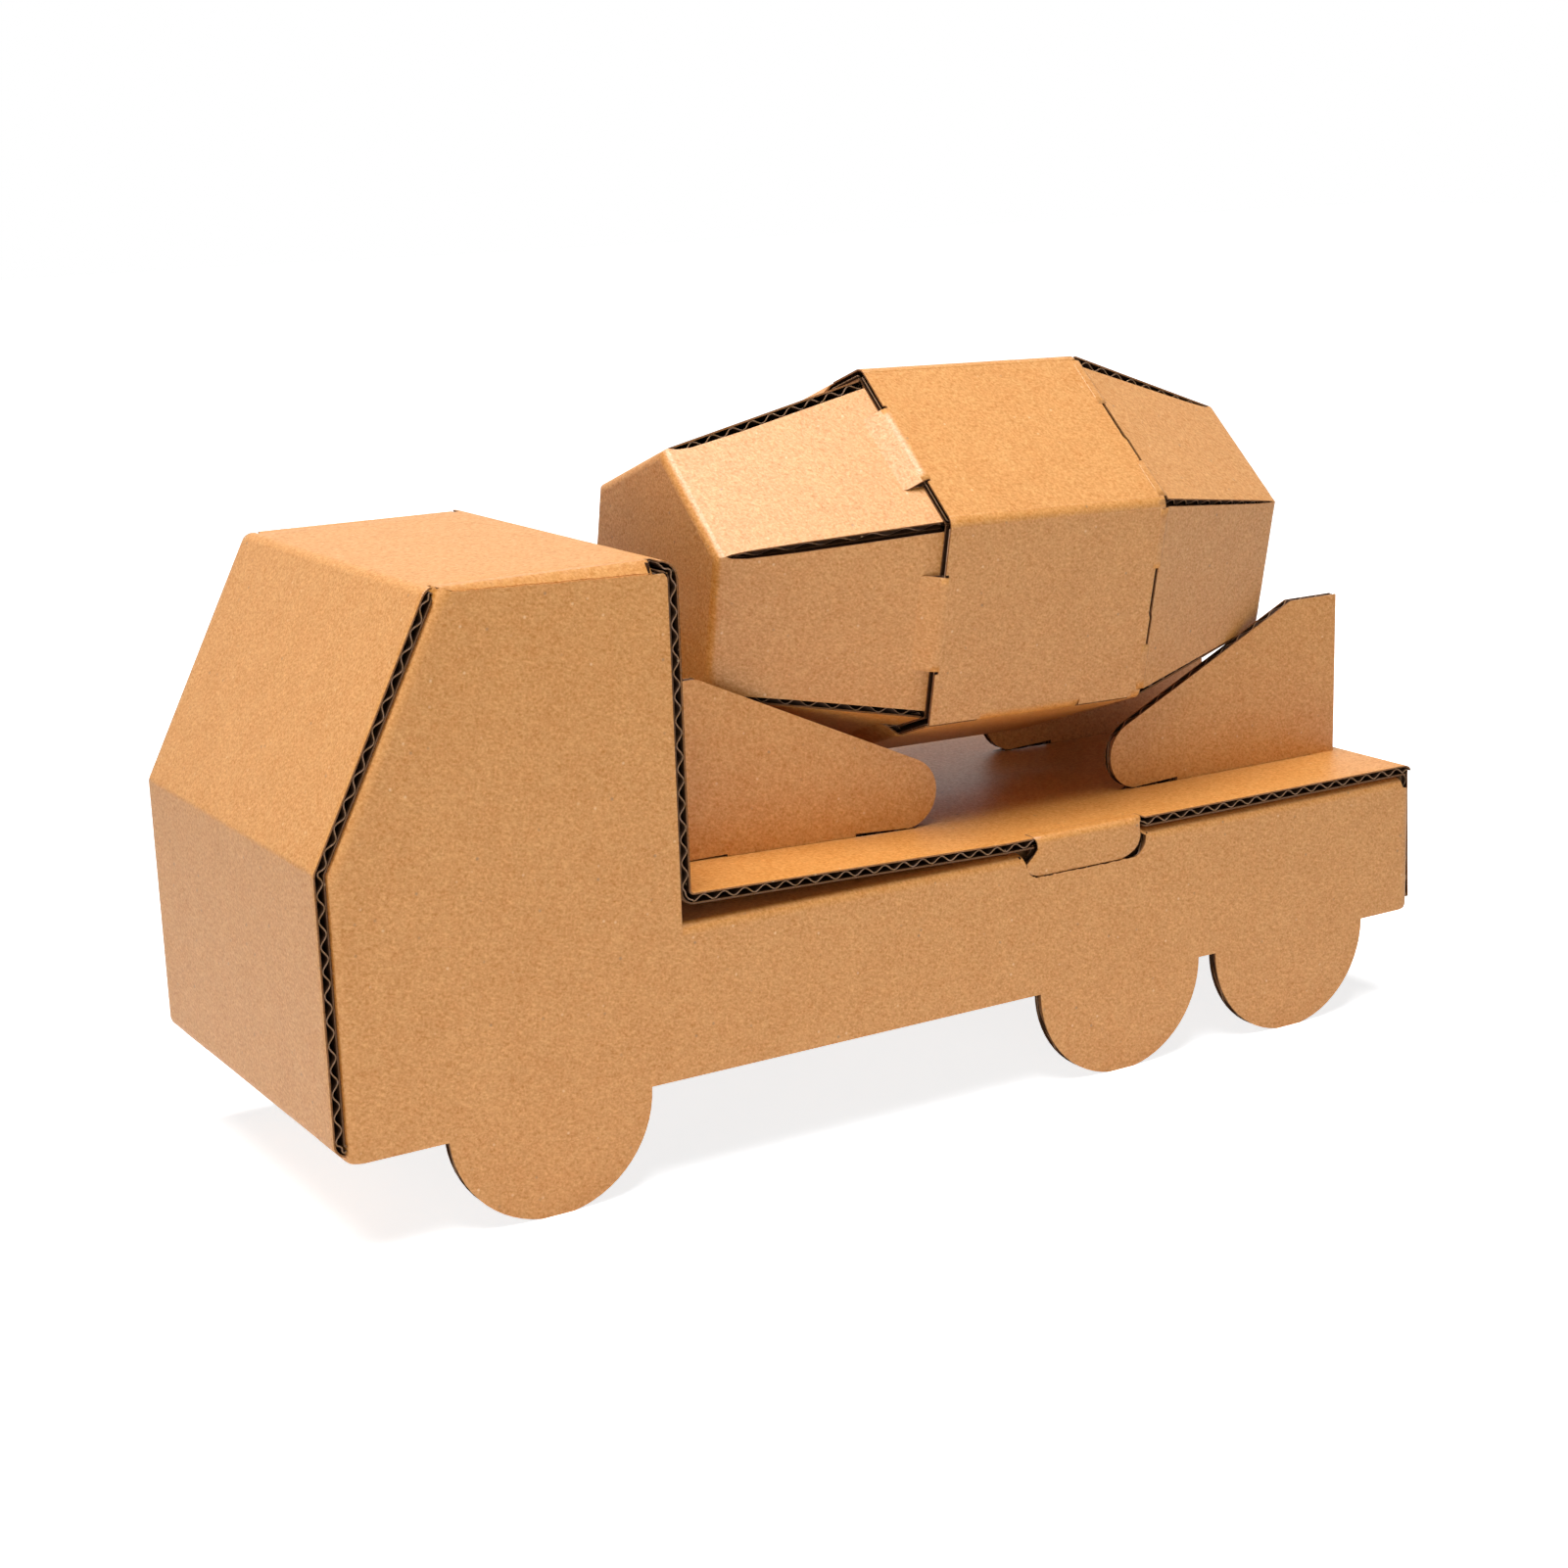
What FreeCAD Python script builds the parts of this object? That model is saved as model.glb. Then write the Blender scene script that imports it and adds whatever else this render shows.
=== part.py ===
# Toy concrete mixer truck, cut, creased and folded from single-wall corrugated board.
# Millimetres. +X runs to the rear, +Y to the far side, +Z up; z = 0 is the ground under the wheels.
# Every sheet is modelled as solid board of its true thickness; the sketches measure x from the nose.
import FreeCAD, Part
import math
import os
import Sketcher

DIMENSIONS = {
    # the folded body
    "overallLength": 200.0,
    "overallWidth": 69.0,
    "board": 1.7,
    "wheelDrop": 16.0,        # chassis bottom above the ground
    "wheelRadius": 16.2,      # a little over the drop, which leaves a short flat under each wheel
    "frontWheel": 33.0,
    "middleWheel": 135.8,
    "rearWheel": 171.8,
    "frontLift": 1.9,         # front panel ends this far above the chassis bottom
    "frontReturn": 12.0,      # bottom flap folded in behind the front panel
    "browHeight": 56.6,       # fold between front panel and windshield
    "windshieldRun": 18.7,
    "roofTop": 93.0,
    "cabDepth": 57.0,
    "cabFold": 3.0,           # wide rounding where the roof turns down into the cab's back
    "deckTop": 44.0,          # at the cab's back; the deck sags from there to its lock
    "deckBend": 113.0,
    "deckMiddle": 42.0,
    "deckRear": 41.7,
    "sideTop": 39.6,          # chassis sides end below the deck
    "rearLift": 1.7,
    "rearFlare": 0.9,         # the rear wall springs outward by this much at its bottom
    "tuckWidth": 11.0,        # flaps that run in behind the windshield, front, deck and rear wall
    "tuckGap": 1.5,
    "foldRound": 1.2,         # rounding of a creased edge
    "roofBevel": 1.3,
    # lock between deck and side panel
    "lockCentre": 128.5,
    "notchHalf": 12.3,
    "notchDrop": 4.2,
    "notchCorner": 3.0,
    "tabHalf": 10.9,
    "tabRound": 2.6,
    "tabReach": 11.0,
    # the four cradle plates
    "frontTall": 57.9,        # tall end of the front pair
    "frontPlateTop": 71.6,
    "frontSlant": 65.5,       # run of the slanted edge down to the deck
    "frontNeckStart": 14.4,
    "frontNeck": 23.3,
    "rearTall": 195.6,
    "rearPlateTop": 69.6,
    "rearSlant": 59.2,
    "rearNeckStart": 5.0,
    "rearNeck": 30.1,
    "cradleFace": 18.6,       # outer face from the centre plane
    "cradleFlat": 10.2,
    "cradleNose": 5.7,
    "cradleCorner": 1.6,
    "neckDrop": 5.0,
    "slotPlay": 0.1,
    # the drum
    "drumFront": 71.9,
    "noseLength": 35.1,
    "bandLength": 41.6,
    "rearLength": 32.7,
    "drumSide": 33.3,         # edge of the band's hexagon
    "drumEndSide": 22.2,      # edge of the two caps
    "drumHeight": 82.18,      # axis above the ground at the front cap, resting on three plates
    "drumShift": 1.6,         # axis off the centre plane, towards the far side
    "drumRoll": 10.7,         # the drum has rolled this far in its cradle
    "drumPitch": 1.2,         # and it lies nose up, as the deck sags
    "grooveCutter": 3.0,      # size of the three-sided cutter that parts the taper panels
    "grooveThrough": 0.3,     # how far it comes through on the inside, at the wide end
    "slitStart": 0.34,        # cut part of the band's rear folds, as shares of the hexagon's edge
    "slitEnd": 0.73,
    "slitWidth": 0.7,
    "tongueLength": 9.0,      # nose panels run on under the band
    "lugHalf": 0.23,          # half the width of a band lug, as a share of the hexagon's edge
    "lugLength": 7.6,         # the lugs slope down from the band and dip into the nose panels
    "lugAngle": 36.0,
    "lugPlay": 0.1,
}

doc = FreeCAD.newDocument("mixer_truck")
sizes = doc.addObject("Spreadsheet::Sheet", "sizes")
for row, (alias, value) in enumerate(DIMENSIONS.items(), start=1):
    sizes.set(f"A{row}", alias)
    sizes.set(f"B{row}", str(value))
    sizes.setAlias(f"B{row}", alias)
doc.recompute()


def originPlane(body, role):
    return next(o for o in body.Origin.OriginFeatures if o.Role == role)


def planeSketch(body, name, role, offset=None):
    """A sketch on one of the body's own origin planes, moved along its normal by an expression."""
    sketch = body.newObject("Sketcher::SketchObject", name)
    sketch.AttachmentSupport = [(originPlane(body, role), "")]
    sketch.MapMode = "FlatFace"
    if offset:
        sketch.setExpression(".AttachmentOffset.Base.z", offset)
    return sketch


def pin(sketch, geometry, point, across, up):
    """Hold one point of a sketch by two expressions."""
    for kind, text in (("DistanceX", across), ("DistanceY", up)):
        value = float(sketch.evalExpression(text))
        index = sketch.addConstraint(Sketcher.Constraint(kind, -1, 1, geometry, point, value))
        sketch.setExpression(f"Constraints[{index}]", text)


def addOutline(sketch, corners):
    """A closed outline whose corners are pairs of expressions."""
    spots = [FreeCAD.Vector(*(float(sketch.evalExpression(e)) for e in c), 0) for c in corners]
    first = sketch.GeometryCount
    count = len(corners)
    for i in range(count):
        sketch.addGeometry(Part.LineSegment(spots[i], spots[(i + 1) % count]), False)
    for i, (across, up) in enumerate(corners):
        following = first + (i + 1) % count
        sketch.addConstraint(Sketcher.Constraint("Coincident", first + i, 2, following, 1))
        pin(sketch, first + i, 1, across, up)


def addDisc(sketch, across, up, radius):
    """A circle held by expressions."""
    middle = FreeCAD.Vector(*(float(sketch.evalExpression(e)) for e in (across, up)), 0)
    size = float(sketch.evalExpression(radius))
    index = sketch.addGeometry(Part.Circle(middle, FreeCAD.Vector(0, 0, 1), size), False)
    pin(sketch, index, 3, across, up)
    held = sketch.addConstraint(Sketcher.Constraint("Radius", index, size))
    sketch.setExpression(f"Constraints[{held}]", radius)


def pad(body, name, sketch, length, reverse=False, symmetric=False):
    feature = body.newObject("PartDesign::Pad", name)
    feature.Profile = sketch
    feature.setExpression("Length", length)
    feature.Reversed = reverse
    if symmetric:
        feature.SideType = "Symmetric"
    doc.recompute()
    return feature


def pocket(body, name, sketch, length, reverse=False, symmetric=False):
    """A pocket that is checked to have removed material."""
    before = body.Shape.Volume
    feature = body.newObject("PartDesign::Pocket", name)
    feature.Profile = sketch
    feature.setExpression("Length", length)
    feature.Reversed = reverse
    if symmetric:
        feature.SideType = "Symmetric"
    doc.recompute()
    if body.Shape.Volume > before - 1e-3:
        raise RuntimeError(f"{name} removed nothing")
    return feature


def soften(body, name, kind, size, chosen):
    """Fillet or chamfer the edges of the body's tip for which chosen(edge) holds."""
    base = body.Tip
    names = [f"Edge{i}" for i, edge in enumerate(base.Shape.Edges, start=1) if chosen(edge)]
    if not names:
        raise RuntimeError(f"{name} found no edge")
    feature = body.newObject(f"PartDesign::{kind}", name)
    feature.Base = (base, names)
    feature.setExpression("Radius" if kind == "Fillet" else "Size", size)
    doc.recompute()
    return feature


def size(alias):
    return float(sizes.get(alias))


# ---------------------------------------------------------------- folded body
# fold lines of the inner face, as expressions, from the nose round to the rear wall
slope = "sqrt(sizes.windshieldRun^2 + (sizes.roofTop - sizes.browHeight)^2)"
rise = "(sizes.roofTop - sizes.browHeight)"


def windshieldAcross(height, depth):
    """x of the windshield's plane at a height, this far in from the outer face."""
    return (f"(({height} - sizes.browHeight) * sizes.windshieldRun + {depth} * {slope}) / {rise}")


def browUp(depth):
    """Height of the brow fold, this far in from both outer faces."""
    return f"sizes.browHeight + {depth} * ({rise} - {slope}) / sizes.windshieldRun"


frontFall = "((sizes.deckTop - sizes.deckMiddle) / (sizes.deckBend - sizes.cabDepth))"


def deckUp(across):
    """Height of the deck's top between the cab's back and the bend near the lock."""
    return f"(sizes.deckTop - {frontFall} * ({across} - sizes.cabDepth))"


def rearAcross(height, depth):
    """x of the rear wall's plane at a height, this far in from the outer face."""
    reach = "(sizes.deckRear - sizes.wheelDrop - sizes.rearLift)"
    return (f"sizes.overallLength - {depth} - sizes.rearFlare"
            f" * ({height} - sizes.wheelDrop - sizes.rearLift) / {reach}")


def profileCorners(depth):
    """Corners of the body's profile this far in from its outer face, from nose to rear."""
    roof = f"sizes.roofTop - {depth}"
    rear = f"sizes.deckRear - {depth}"
    return [
        (depth, browUp(depth)),
        (windshieldAcross(roof, depth), roof),
        (f"sizes.cabDepth - {depth}", roof),
        (f"sizes.cabDepth - {depth}", f"{deckUp(f'(sizes.cabDepth - {depth})')} - {depth}"),
        ("sizes.deckBend", f"sizes.deckMiddle - {depth}"),
        (rearAcross(rear, depth), rear),
    ]


OUTER = "0"
INNER = "sizes.board"
DEEPER = "2 * sizes.board"
chassisBottom = "sizes.wheelDrop"
frontBottom = "sizes.wheelDrop + sizes.frontLift"
rearBottom = "sizes.wheelDrop + sizes.rearLift"
nearFace = "sizes.overallWidth / 2"


def sidePanel(body):
    """Cab and chassis side with three half-disc wheels, one board thick."""
    panel = planeSketch(body, "sideOutline", "XZ_Plane", nearFace)
    corners = [(INNER, chassisBottom)] + profileCorners(INNER)[:3]
    corners += [(f"sizes.cabDepth - {INNER}", "sizes.sideTop"),
                (rearAcross("sizes.sideTop", INNER), "sizes.sideTop"),
                (rearAcross(chassisBottom, INNER), chassisBottom)]
    addOutline(panel, corners)
    pad(body, "sidePad", panel, "sizes.board", reverse=True)
    wheels = planeSketch(body, "wheelOutline", "XZ_Plane", nearFace)
    for place in ("frontWheel", "middleWheel", "rearWheel"):
        addDisc(wheels, f"sizes.{place}", chassisBottom, "sizes.wheelRadius")
    pad(body, "wheelPad", wheels, "sizes.board", reverse=True)
    ground = planeSketch(body, "groundCut", "XZ_Plane", nearFace)
    addOutline(ground, [("0", "-sizes.wheelRadius"), ("sizes.overallLength", "-sizes.wheelRadius"),
                        ("sizes.overallLength", "0"), ("0", "0")])
    pocket(body, "groundPocket", ground, "sizes.board")


def sideFolds(body):
    """Round the creased edges of the side panel: nose, windshield, chassis top and rear."""
    outerY = -size("overallWidth") / 2
    board = size("board")
    rearX = size("overallLength") - board - size("rearFlare") - 0.5

    def creased(edge):
        if edge.Curve.TypeId != "Part::GeomLine":
            return False
        box = edge.BoundBox
        if abs(box.YMin - outerY) > 1e-4 or abs(box.YMax - outerY) > 1e-4:
            return False
        nose = box.XMax < size("windshieldRun") + board + 1 and box.ZMax > size("browHeight") - 2
        top = abs(box.ZMin - size("sideTop")) < 1e-4 and abs(box.ZMax - size("sideTop")) < 1e-4
        rear = box.XMin > rearX and box.ZLength > 10
        return nose or top or rear

    soften(body, "sideFolds", "Fillet", "sizes.foldRound", creased)


def tuckFlaps(body):
    """Flaps folded in from the side panel's edges, lying against the inside of the strip."""
    flaps = planeSketch(body, "tuckOutline", "XZ_Plane", f"{nearFace} - sizes.board")
    near = profileCorners(INNER)
    gap = "sizes.tuckGap"
    low = f"{frontBottom} + sizes.board + {gap}"
    addOutline(flaps, [(INNER, low), (INNER, f"{near[0][1]} - {gap}"),
                       (DEEPER, f"{near[0][1]} - {gap}"), (DEEPER, low)])
    foot = f"(sizes.browHeight + {gap})"
    head = f"(sizes.roofTop - 2 * sizes.board - {gap})"
    addOutline(flaps, [(windshieldAcross(foot, INNER), foot), (windshieldAcross(head, INNER), head),
                       (windshieldAcross(head, DEEPER), head), (windshieldAcross(foot, DEEPER), foot)])
    start, stop = f"sizes.cabDepth + {gap}", f"{rearAcross('sizes.sideTop', DEEPER)} - {gap}"
    under = "sizes.sideTop - sizes.board"
    addOutline(flaps, [(start, "sizes.sideTop"), (stop, "sizes.sideTop"), (stop, under), (start, under)])
    top = f"(sizes.sideTop - sizes.board - {gap})"
    base = f"({rearBottom} + {gap})"
    addOutline(flaps, [(rearAcross(base, DEEPER), base), (rearAcross(base, INNER), base),
                       (rearAcross(top, INNER), top), (rearAcross(top, DEEPER), top)])
    pad(body, "tuckPad", flaps, "sizes.tuckWidth - sizes.board", reverse=True)


def lockNotch(body):
    """Gap in the chassis top fold that takes the deck's tab."""
    notch = planeSketch(body, "notchOutline", "XZ_Plane", nearFace)
    left, right = "sizes.lockCentre - sizes.notchHalf", "sizes.lockCentre + sizes.notchHalf"
    low, high = "sizes.sideTop - sizes.notchDrop", "sizes.sideTop + 1"
    corner = "sizes.notchCorner"
    addOutline(notch, [(left, high), (left, f"{low} + {corner}"), (f"{left} + {corner}", low),
                       (f"{right} - {corner}", low), (right, f"{low} + {corner}"), (right, high)])
    pocket(body, "notchPocket", notch, "sizes.tuckWidth + 1", reverse=False)


def strip(body):
    """Front return, front panel, windshield, roof, cab back, deck and rear wall: near half."""
    outline = planeSketch(body, "stripOutline", "XZ_Plane")
    corners = [("sizes.frontReturn", frontBottom), ("0", frontBottom)] + profileCorners(OUTER)
    corners += [(rearAcross(rearBottom, OUTER), rearBottom), (rearAcross(rearBottom, INNER), rearBottom)]
    corners += list(reversed(profileCorners(INNER)))
    returnTop = f"{frontBottom} + sizes.board"
    corners += [(INNER, returnTop), ("sizes.frontReturn", returnTop)]
    addOutline(outline, corners)
    pad(body, "stripPad", outline, nearFace)


def deckTab(body):
    """The deck's tab: its edge turns down through the notch and slips in behind the side panel."""
    edge = planeSketch(body, "edgeCut", "YZ_Plane", "sizes.lockCentre")
    turn = f"(-({nearFace} - sizes.tabRound))"
    top = "sizes.deckMiddle"
    beyond, under = f"-{nearFace} - 1", f"{top} - sizes.board"
    addOutline(edge, [(beyond, f"{top} + 1"), (turn, f"{top} + 1"),
                      (turn, f"{under} - 1"), (beyond, f"{under} - 1")])
    pocket(body, "edgePocket", edge, "2 * sizes.tabHalf", symmetric=True)
    bend = planeSketch(body, "tabOutline", "YZ_Plane", "sizes.lockCentre")
    face = "-sizes.overallWidth / 2"
    inset = f"({face} + 2 * sizes.board)"
    low = f"{top} - sizes.tabReach"
    shoulder = f"{top} - sizes.tabRound"
    half = "0.3 * sizes.tabRound"
    addOutline(bend, [(turn, top), (f"{face} + {half}", f"{top} - {half}"),
                      (face, shoulder), (f"{inset} - 0.8 * sizes.board", low),
                      (f"{inset} + 0.2 * sizes.board", low),
                      (f"{face} + sizes.board", f"{shoulder} - {half}"), (turn, under)])
    pad(body, "tabPad", bend, "2 * sizes.tabHalf", symmetric=True)


def cradleSlots(body):
    """Slots in the deck for the necks of the near cradle plates."""
    slots = planeSketch(body, "slotOutline", "XY_Plane", "sizes.deckTop")
    outer = "-(sizes.cradleFace + sizes.slotPlay)"
    inner = "-(sizes.cradleFace - sizes.board - sizes.slotPlay)"
    play = "sizes.slotPlay"
    front, rear = "sizes.frontTall + sizes.frontNeckStart", "sizes.rearTall - sizes.rearNeckStart"
    for start, stop in ((front, f"{front} + sizes.frontNeck"), (f"{rear} - sizes.rearNeck", rear)):
        start, stop = f"{start} - {play}", f"{stop} + {play}"
        addOutline(slots, [(start, outer), (stop, outer), (stop, inner), (start, inner)])
    pocket(body, "slotPocket", slots, "sizes.deckTop - sizes.deckRear + sizes.board + 1")


def stripFolds(body):
    """Round the strip's outer folds and bevel the two roof edges."""
    nose, brow = 0.0, size("browHeight")
    roof, cab, deck = size("roofTop"), size("cabDepth"), size("deckRear")
    rear = size("overallLength") - size("rearFlare")
    folds = [(nose, size("wheelDrop") + size("frontLift")), (nose, brow), (size("windshieldRun"), roof),
             (rear, deck)]

    def acrossBody(spots):
        def chosen(edge):
            box = edge.BoundBox
            if box.XLength > 1e-4 or box.ZLength > 1e-4 or box.YLength < 20:
                return False
            return any(math.hypot(box.XMin - x, box.ZMin - z) < 0.01 for x, z in spots)
        return chosen

    def roofEdge(edge):
        box = edge.BoundBox
        level = abs(box.ZMin - roof) < 1e-4 and abs(box.ZMax - roof) < 1e-4
        outside = abs(abs(box.YMin) - size("overallWidth") / 2) < 1e-4 and box.YLength < 1e-4
        return level and outside and box.XLength > 20

    soften(body, "roofBevel", "Chamfer", "sizes.roofBevel", roofEdge)
    soften(body, "stripFolds", "Fillet", "sizes.foldRound", acrossBody(folds))
    soften(body, "cabFold", "Fillet", "sizes.cabFold", acrossBody([(cab, roof)]))


def truckBody():
    """One die-cut sheet, folded: the strip over the top and the two side panels."""
    body = doc.addObject("PartDesign::Body", "truckBody")
    body.Label = "truck_body"
    sidePanel(body)
    sideFolds(body)
    tuckFlaps(body)
    lockNotch(body)
    strip(body)
    deckTab(body)
    cradleSlots(body)
    mirror = body.newObject("PartDesign::Mirrored", "farHalf")
    mirror.TransformMode = "Whole shape"
    mirror.MirrorPlane = (originPlane(body, "XZ_Plane"), [""])
    body.Tip = mirror
    doc.recompute()
    stripFolds(body)
    body.setExpression(".Placement.Base.x", "-sizes.overallLength / 2")
    return body


# ---------------------------------------------------------------- cradle plates
rearFall = "((sizes.deckMiddle - sizes.deckRear) / (sizes.overallLength - sizes.rearFlare - sizes.deckBend))"


def cradlePlate(pair, far):
    """A slanted plate with a rounded nose that stands on the deck, its neck down through a slot.

    The sketch measures from the plate's tall end towards its nose; the rear pair is turned round.
    """
    label = f"cradle_{pair}_{'far' if far else 'near'}"
    body = doc.addObject("PartDesign::Body", label.replace("_", ""))
    body.Label = label
    if pair == "front":
        foot = deckUp("sizes.frontTall")
        fall = frontFall
    else:
        foot = f"(sizes.deckMiddle - {rearFall} * (sizes.rearTall - sizes.deckBend))"
        fall = f"(-{rearFall})"
    top, slant = f"sizes.{pair}PlateTop", f"sizes.{pair}Slant"
    reach = f"(sizes.cradleFlat + {slant})"
    sketch = planeSketch(body, "plateOutline", "XZ_Plane")
    tip = f"{foot} - {fall} * {reach}"
    addOutline(sketch, [("0", foot), (reach, tip), ("sizes.cradleFlat", top), ("0", top)])
    pad(body, "platePad", sketch, "sizes.board")

    def corner(across, up):
        x, z = (float(sizes.evalExpression(text)) for text in (across, up))

        def chosen(edge):
            box = edge.BoundBox
            return box.YLength > 1 and math.hypot(box.XMin - x, box.ZMin - z) < 0.01
        return chosen

    soften(body, "nose", "Fillet", "sizes.cradleNose", corner(reach, tip))
    soften(body, "corner", "Fillet", "sizes.cradleCorner", corner("sizes.cradleFlat", top))
    neck = planeSketch(body, "neckOutline", "XZ_Plane")
    left = f"sizes.{pair}NeckStart"
    right = f"({left} + sizes.{pair}Neck)"
    shoulder = f"{foot} - {fall} * {left}"
    addOutline(neck, [(left, shoulder), (left, f"{shoulder} - sizes.neckDrop"),
                      (right, f"{shoulder} - sizes.neckDrop"), (right, f"{foot} - {fall} * {right}")])
    pad(body, "neckPad", neck, "sizes.board")
    # the pads run from the sketch plane towards -Y, or towards +Y once the plate is turned round
    side = "sizes.cradleFace" if far else "-sizes.cradleFace"
    if pair == "rear":
        body.Placement.Rotation = FreeCAD.Rotation(FreeCAD.Vector(0, 0, 1), 180)
        place = f"{side} - sizes.board" if far else side
    else:
        place = side if far else f"{side} + sizes.board"
    body.setExpression(".Placement.Base.x", f"sizes.{pair}Tall - sizes.overallLength / 2")
    body.setExpression(".Placement.Base.y", place)
    return body


# ---------------------------------------------------------------- drum
# Hexagons are set up with their axis along Z and their first corner along X; the finished
# shells are laid along X with that corner up, then rolled about the axis.
wallAcross = "sizes.board / cos(30)"


def taperWall(end):
    """Wall of the nose or rear taper, measured outwards from the axis along a corner."""
    fall = f"((sizes.drumSide - sizes.drumEndSide) * cos(30))"
    return f"({wallAcross} * sqrt(sizes.{end}Length^2 + {fall}^2) / sizes.{end}Length)"


def capInside(end):
    """Corner radius of a taper's inside where it meets the inner face of its cap."""
    steepness = f"((sizes.drumSide - sizes.drumEndSide) / sizes.{end}Length)"
    return f"sizes.drumEndSide - {taperWall(end)} + {steepness} * sizes.board"


def part(kind, name, **bound):
    """A Part primitive whose properties follow the given expressions."""
    item = doc.addObject(kind, name)
    for prop, text in bound.items():
        item.setExpression(prop, text)
    return item


def hexagon(name, radius, height):
    """A hexagonal outline at a height along the drum's axis."""
    ring = part("Part::RegularPolygon", name, Circumradius=radius)
    ring.Polygon = 6
    ring.setExpression(".Placement.Base.z", height)
    return ring


def prism(name, radius, start, length):
    block = part("Part::Prism", name, Circumradius=radius, Height=length)
    block.Polygon = 6
    block.setExpression(".Placement.Base.z", start)
    return block


def frustum(name, lowRadius, low, highRadius, high):
    """A hexagonal taper between two heights."""
    loft = doc.addObject("Part::Loft", name)
    loft.Sections = [hexagon(name + "Low", lowRadius, low), hexagon(name + "High", highRadius, high)]
    loft.Solid = True
    loft.Ruled = True
    return loft


def cut(name, base, tool):
    item = doc.addObject("Part::Cut", name)
    item.Base, item.Tool = base, tool
    return item


def joined(name, shapes):
    item = doc.addObject("Part::MultiFuse", name)
    item.Shapes = shapes
    return item


def turned(item, turn, x, y, z, lean=0.0):
    """Place a block beside the drum's axis, lean it outwards, then turn it about the axis."""
    spot = FreeCAD.Vector(*(float(sizes.evalExpression(text)) for text in (x, y, z)))
    leaned = FreeCAD.Placement(spot, FreeCAD.Rotation(FreeCAD.Vector(0, 1, 0), lean))
    about = FreeCAD.Placement(FreeCAD.Vector(), FreeCAD.Rotation(FreeCAD.Vector(0, 0, 1), turn))
    item.Placement = about.multiply(leaned)
    return item


def layAlong(item, label):
    """Lay a drum shell along X, first corner up, roll it in the cradle and lift its nose."""
    item.Label = label
    upright = FreeCAD.Rotation(FreeCAD.Vector(0, 1, 0), 90)
    cornerUp = FreeCAD.Rotation(FreeCAD.Vector(1, 0, 0), 180)
    roll = FreeCAD.Rotation(FreeCAD.Vector(1, 0, 0), size("drumRoll"))
    pitch = FreeCAD.Rotation(FreeCAD.Vector(0, 1, 0), size("drumPitch"))
    item.Placement.Rotation = pitch.multiply(roll).multiply(cornerUp).multiply(upright)
    item.setExpression(".Placement.Base.x", "sizes.drumFront - sizes.overallLength / 2")
    item.setExpression(".Placement.Base.y", "sizes.drumShift")
    item.setExpression(".Placement.Base.z", "sizes.drumHeight")
    return item


bandStart = "sizes.noseLength"
bandEnd = "(sizes.noseLength + sizes.bandLength)"
drumEnd = "(sizes.noseLength + sizes.bandLength + sizes.rearLength)"


def ridgeGrooves(name, deepEnd, deepRadius, shallowEnd, shallowRadius):
    """Three-sided cutters along the six ridges: the panels' square-cut edges leave a groove."""
    deep, shallow, inward, outward = (float(sizes.evalExpression(text))
                                      for text in (deepEnd, shallowEnd, deepRadius, shallowRadius))
    low, high = min(deep, shallow), max(deep, shallow)
    start, finish = (inward, outward) if deep < shallow else (outward, inward)
    lean = math.degrees(math.atan2(finish - start, high - low))
    cutters = []
    for i in range(6):
        cutter = doc.addObject("Part::Prism", f"{name}{i}")
        cutter.Polygon = 3
        cutter.setExpression("Circumradius", "sizes.grooveCutter")
        cutter.Height = math.hypot(high - low, finish - start)
        cutter.Placement.Rotation = FreeCAD.Rotation(FreeCAD.Vector(0, 0, 1), 180)
        leaned = FreeCAD.Placement(FreeCAD.Vector(start + size("grooveCutter"), 0, low),
                                   FreeCAD.Rotation(FreeCAD.Vector(0, 1, 0), lean))
        about = FreeCAD.Placement(FreeCAD.Vector(), FreeCAD.Rotation(FreeCAD.Vector(0, 0, 1), 60 * i))
        cutter.Placement = about.multiply(leaned).multiply(cutter.Placement)
        cutters.append(cutter)
    return cutters


facetAcross = "sizes.drumSide * cos(30)"


def lugBlocks(name, play):
    """The band's six lugs, or with some play the openings that take them."""
    blocks = []
    for i in range(6):
        block = part("Part::Box", f"{name}{i}", Length=f"sizes.board + 2 * {play}",
                     Width=f"2 * (sizes.lugHalf * sizes.drumSide + {play})",
                     Height=f"sizes.lugLength + {play}")
        edge = f"-(sizes.lugHalf * sizes.drumSide + {play})"
        blocks.append(turned(block, 60 * i + 30, f"{facetAcross} + {play}", edge, bandStart,
                             180 + size("lugAngle")))
    return blocks


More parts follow.
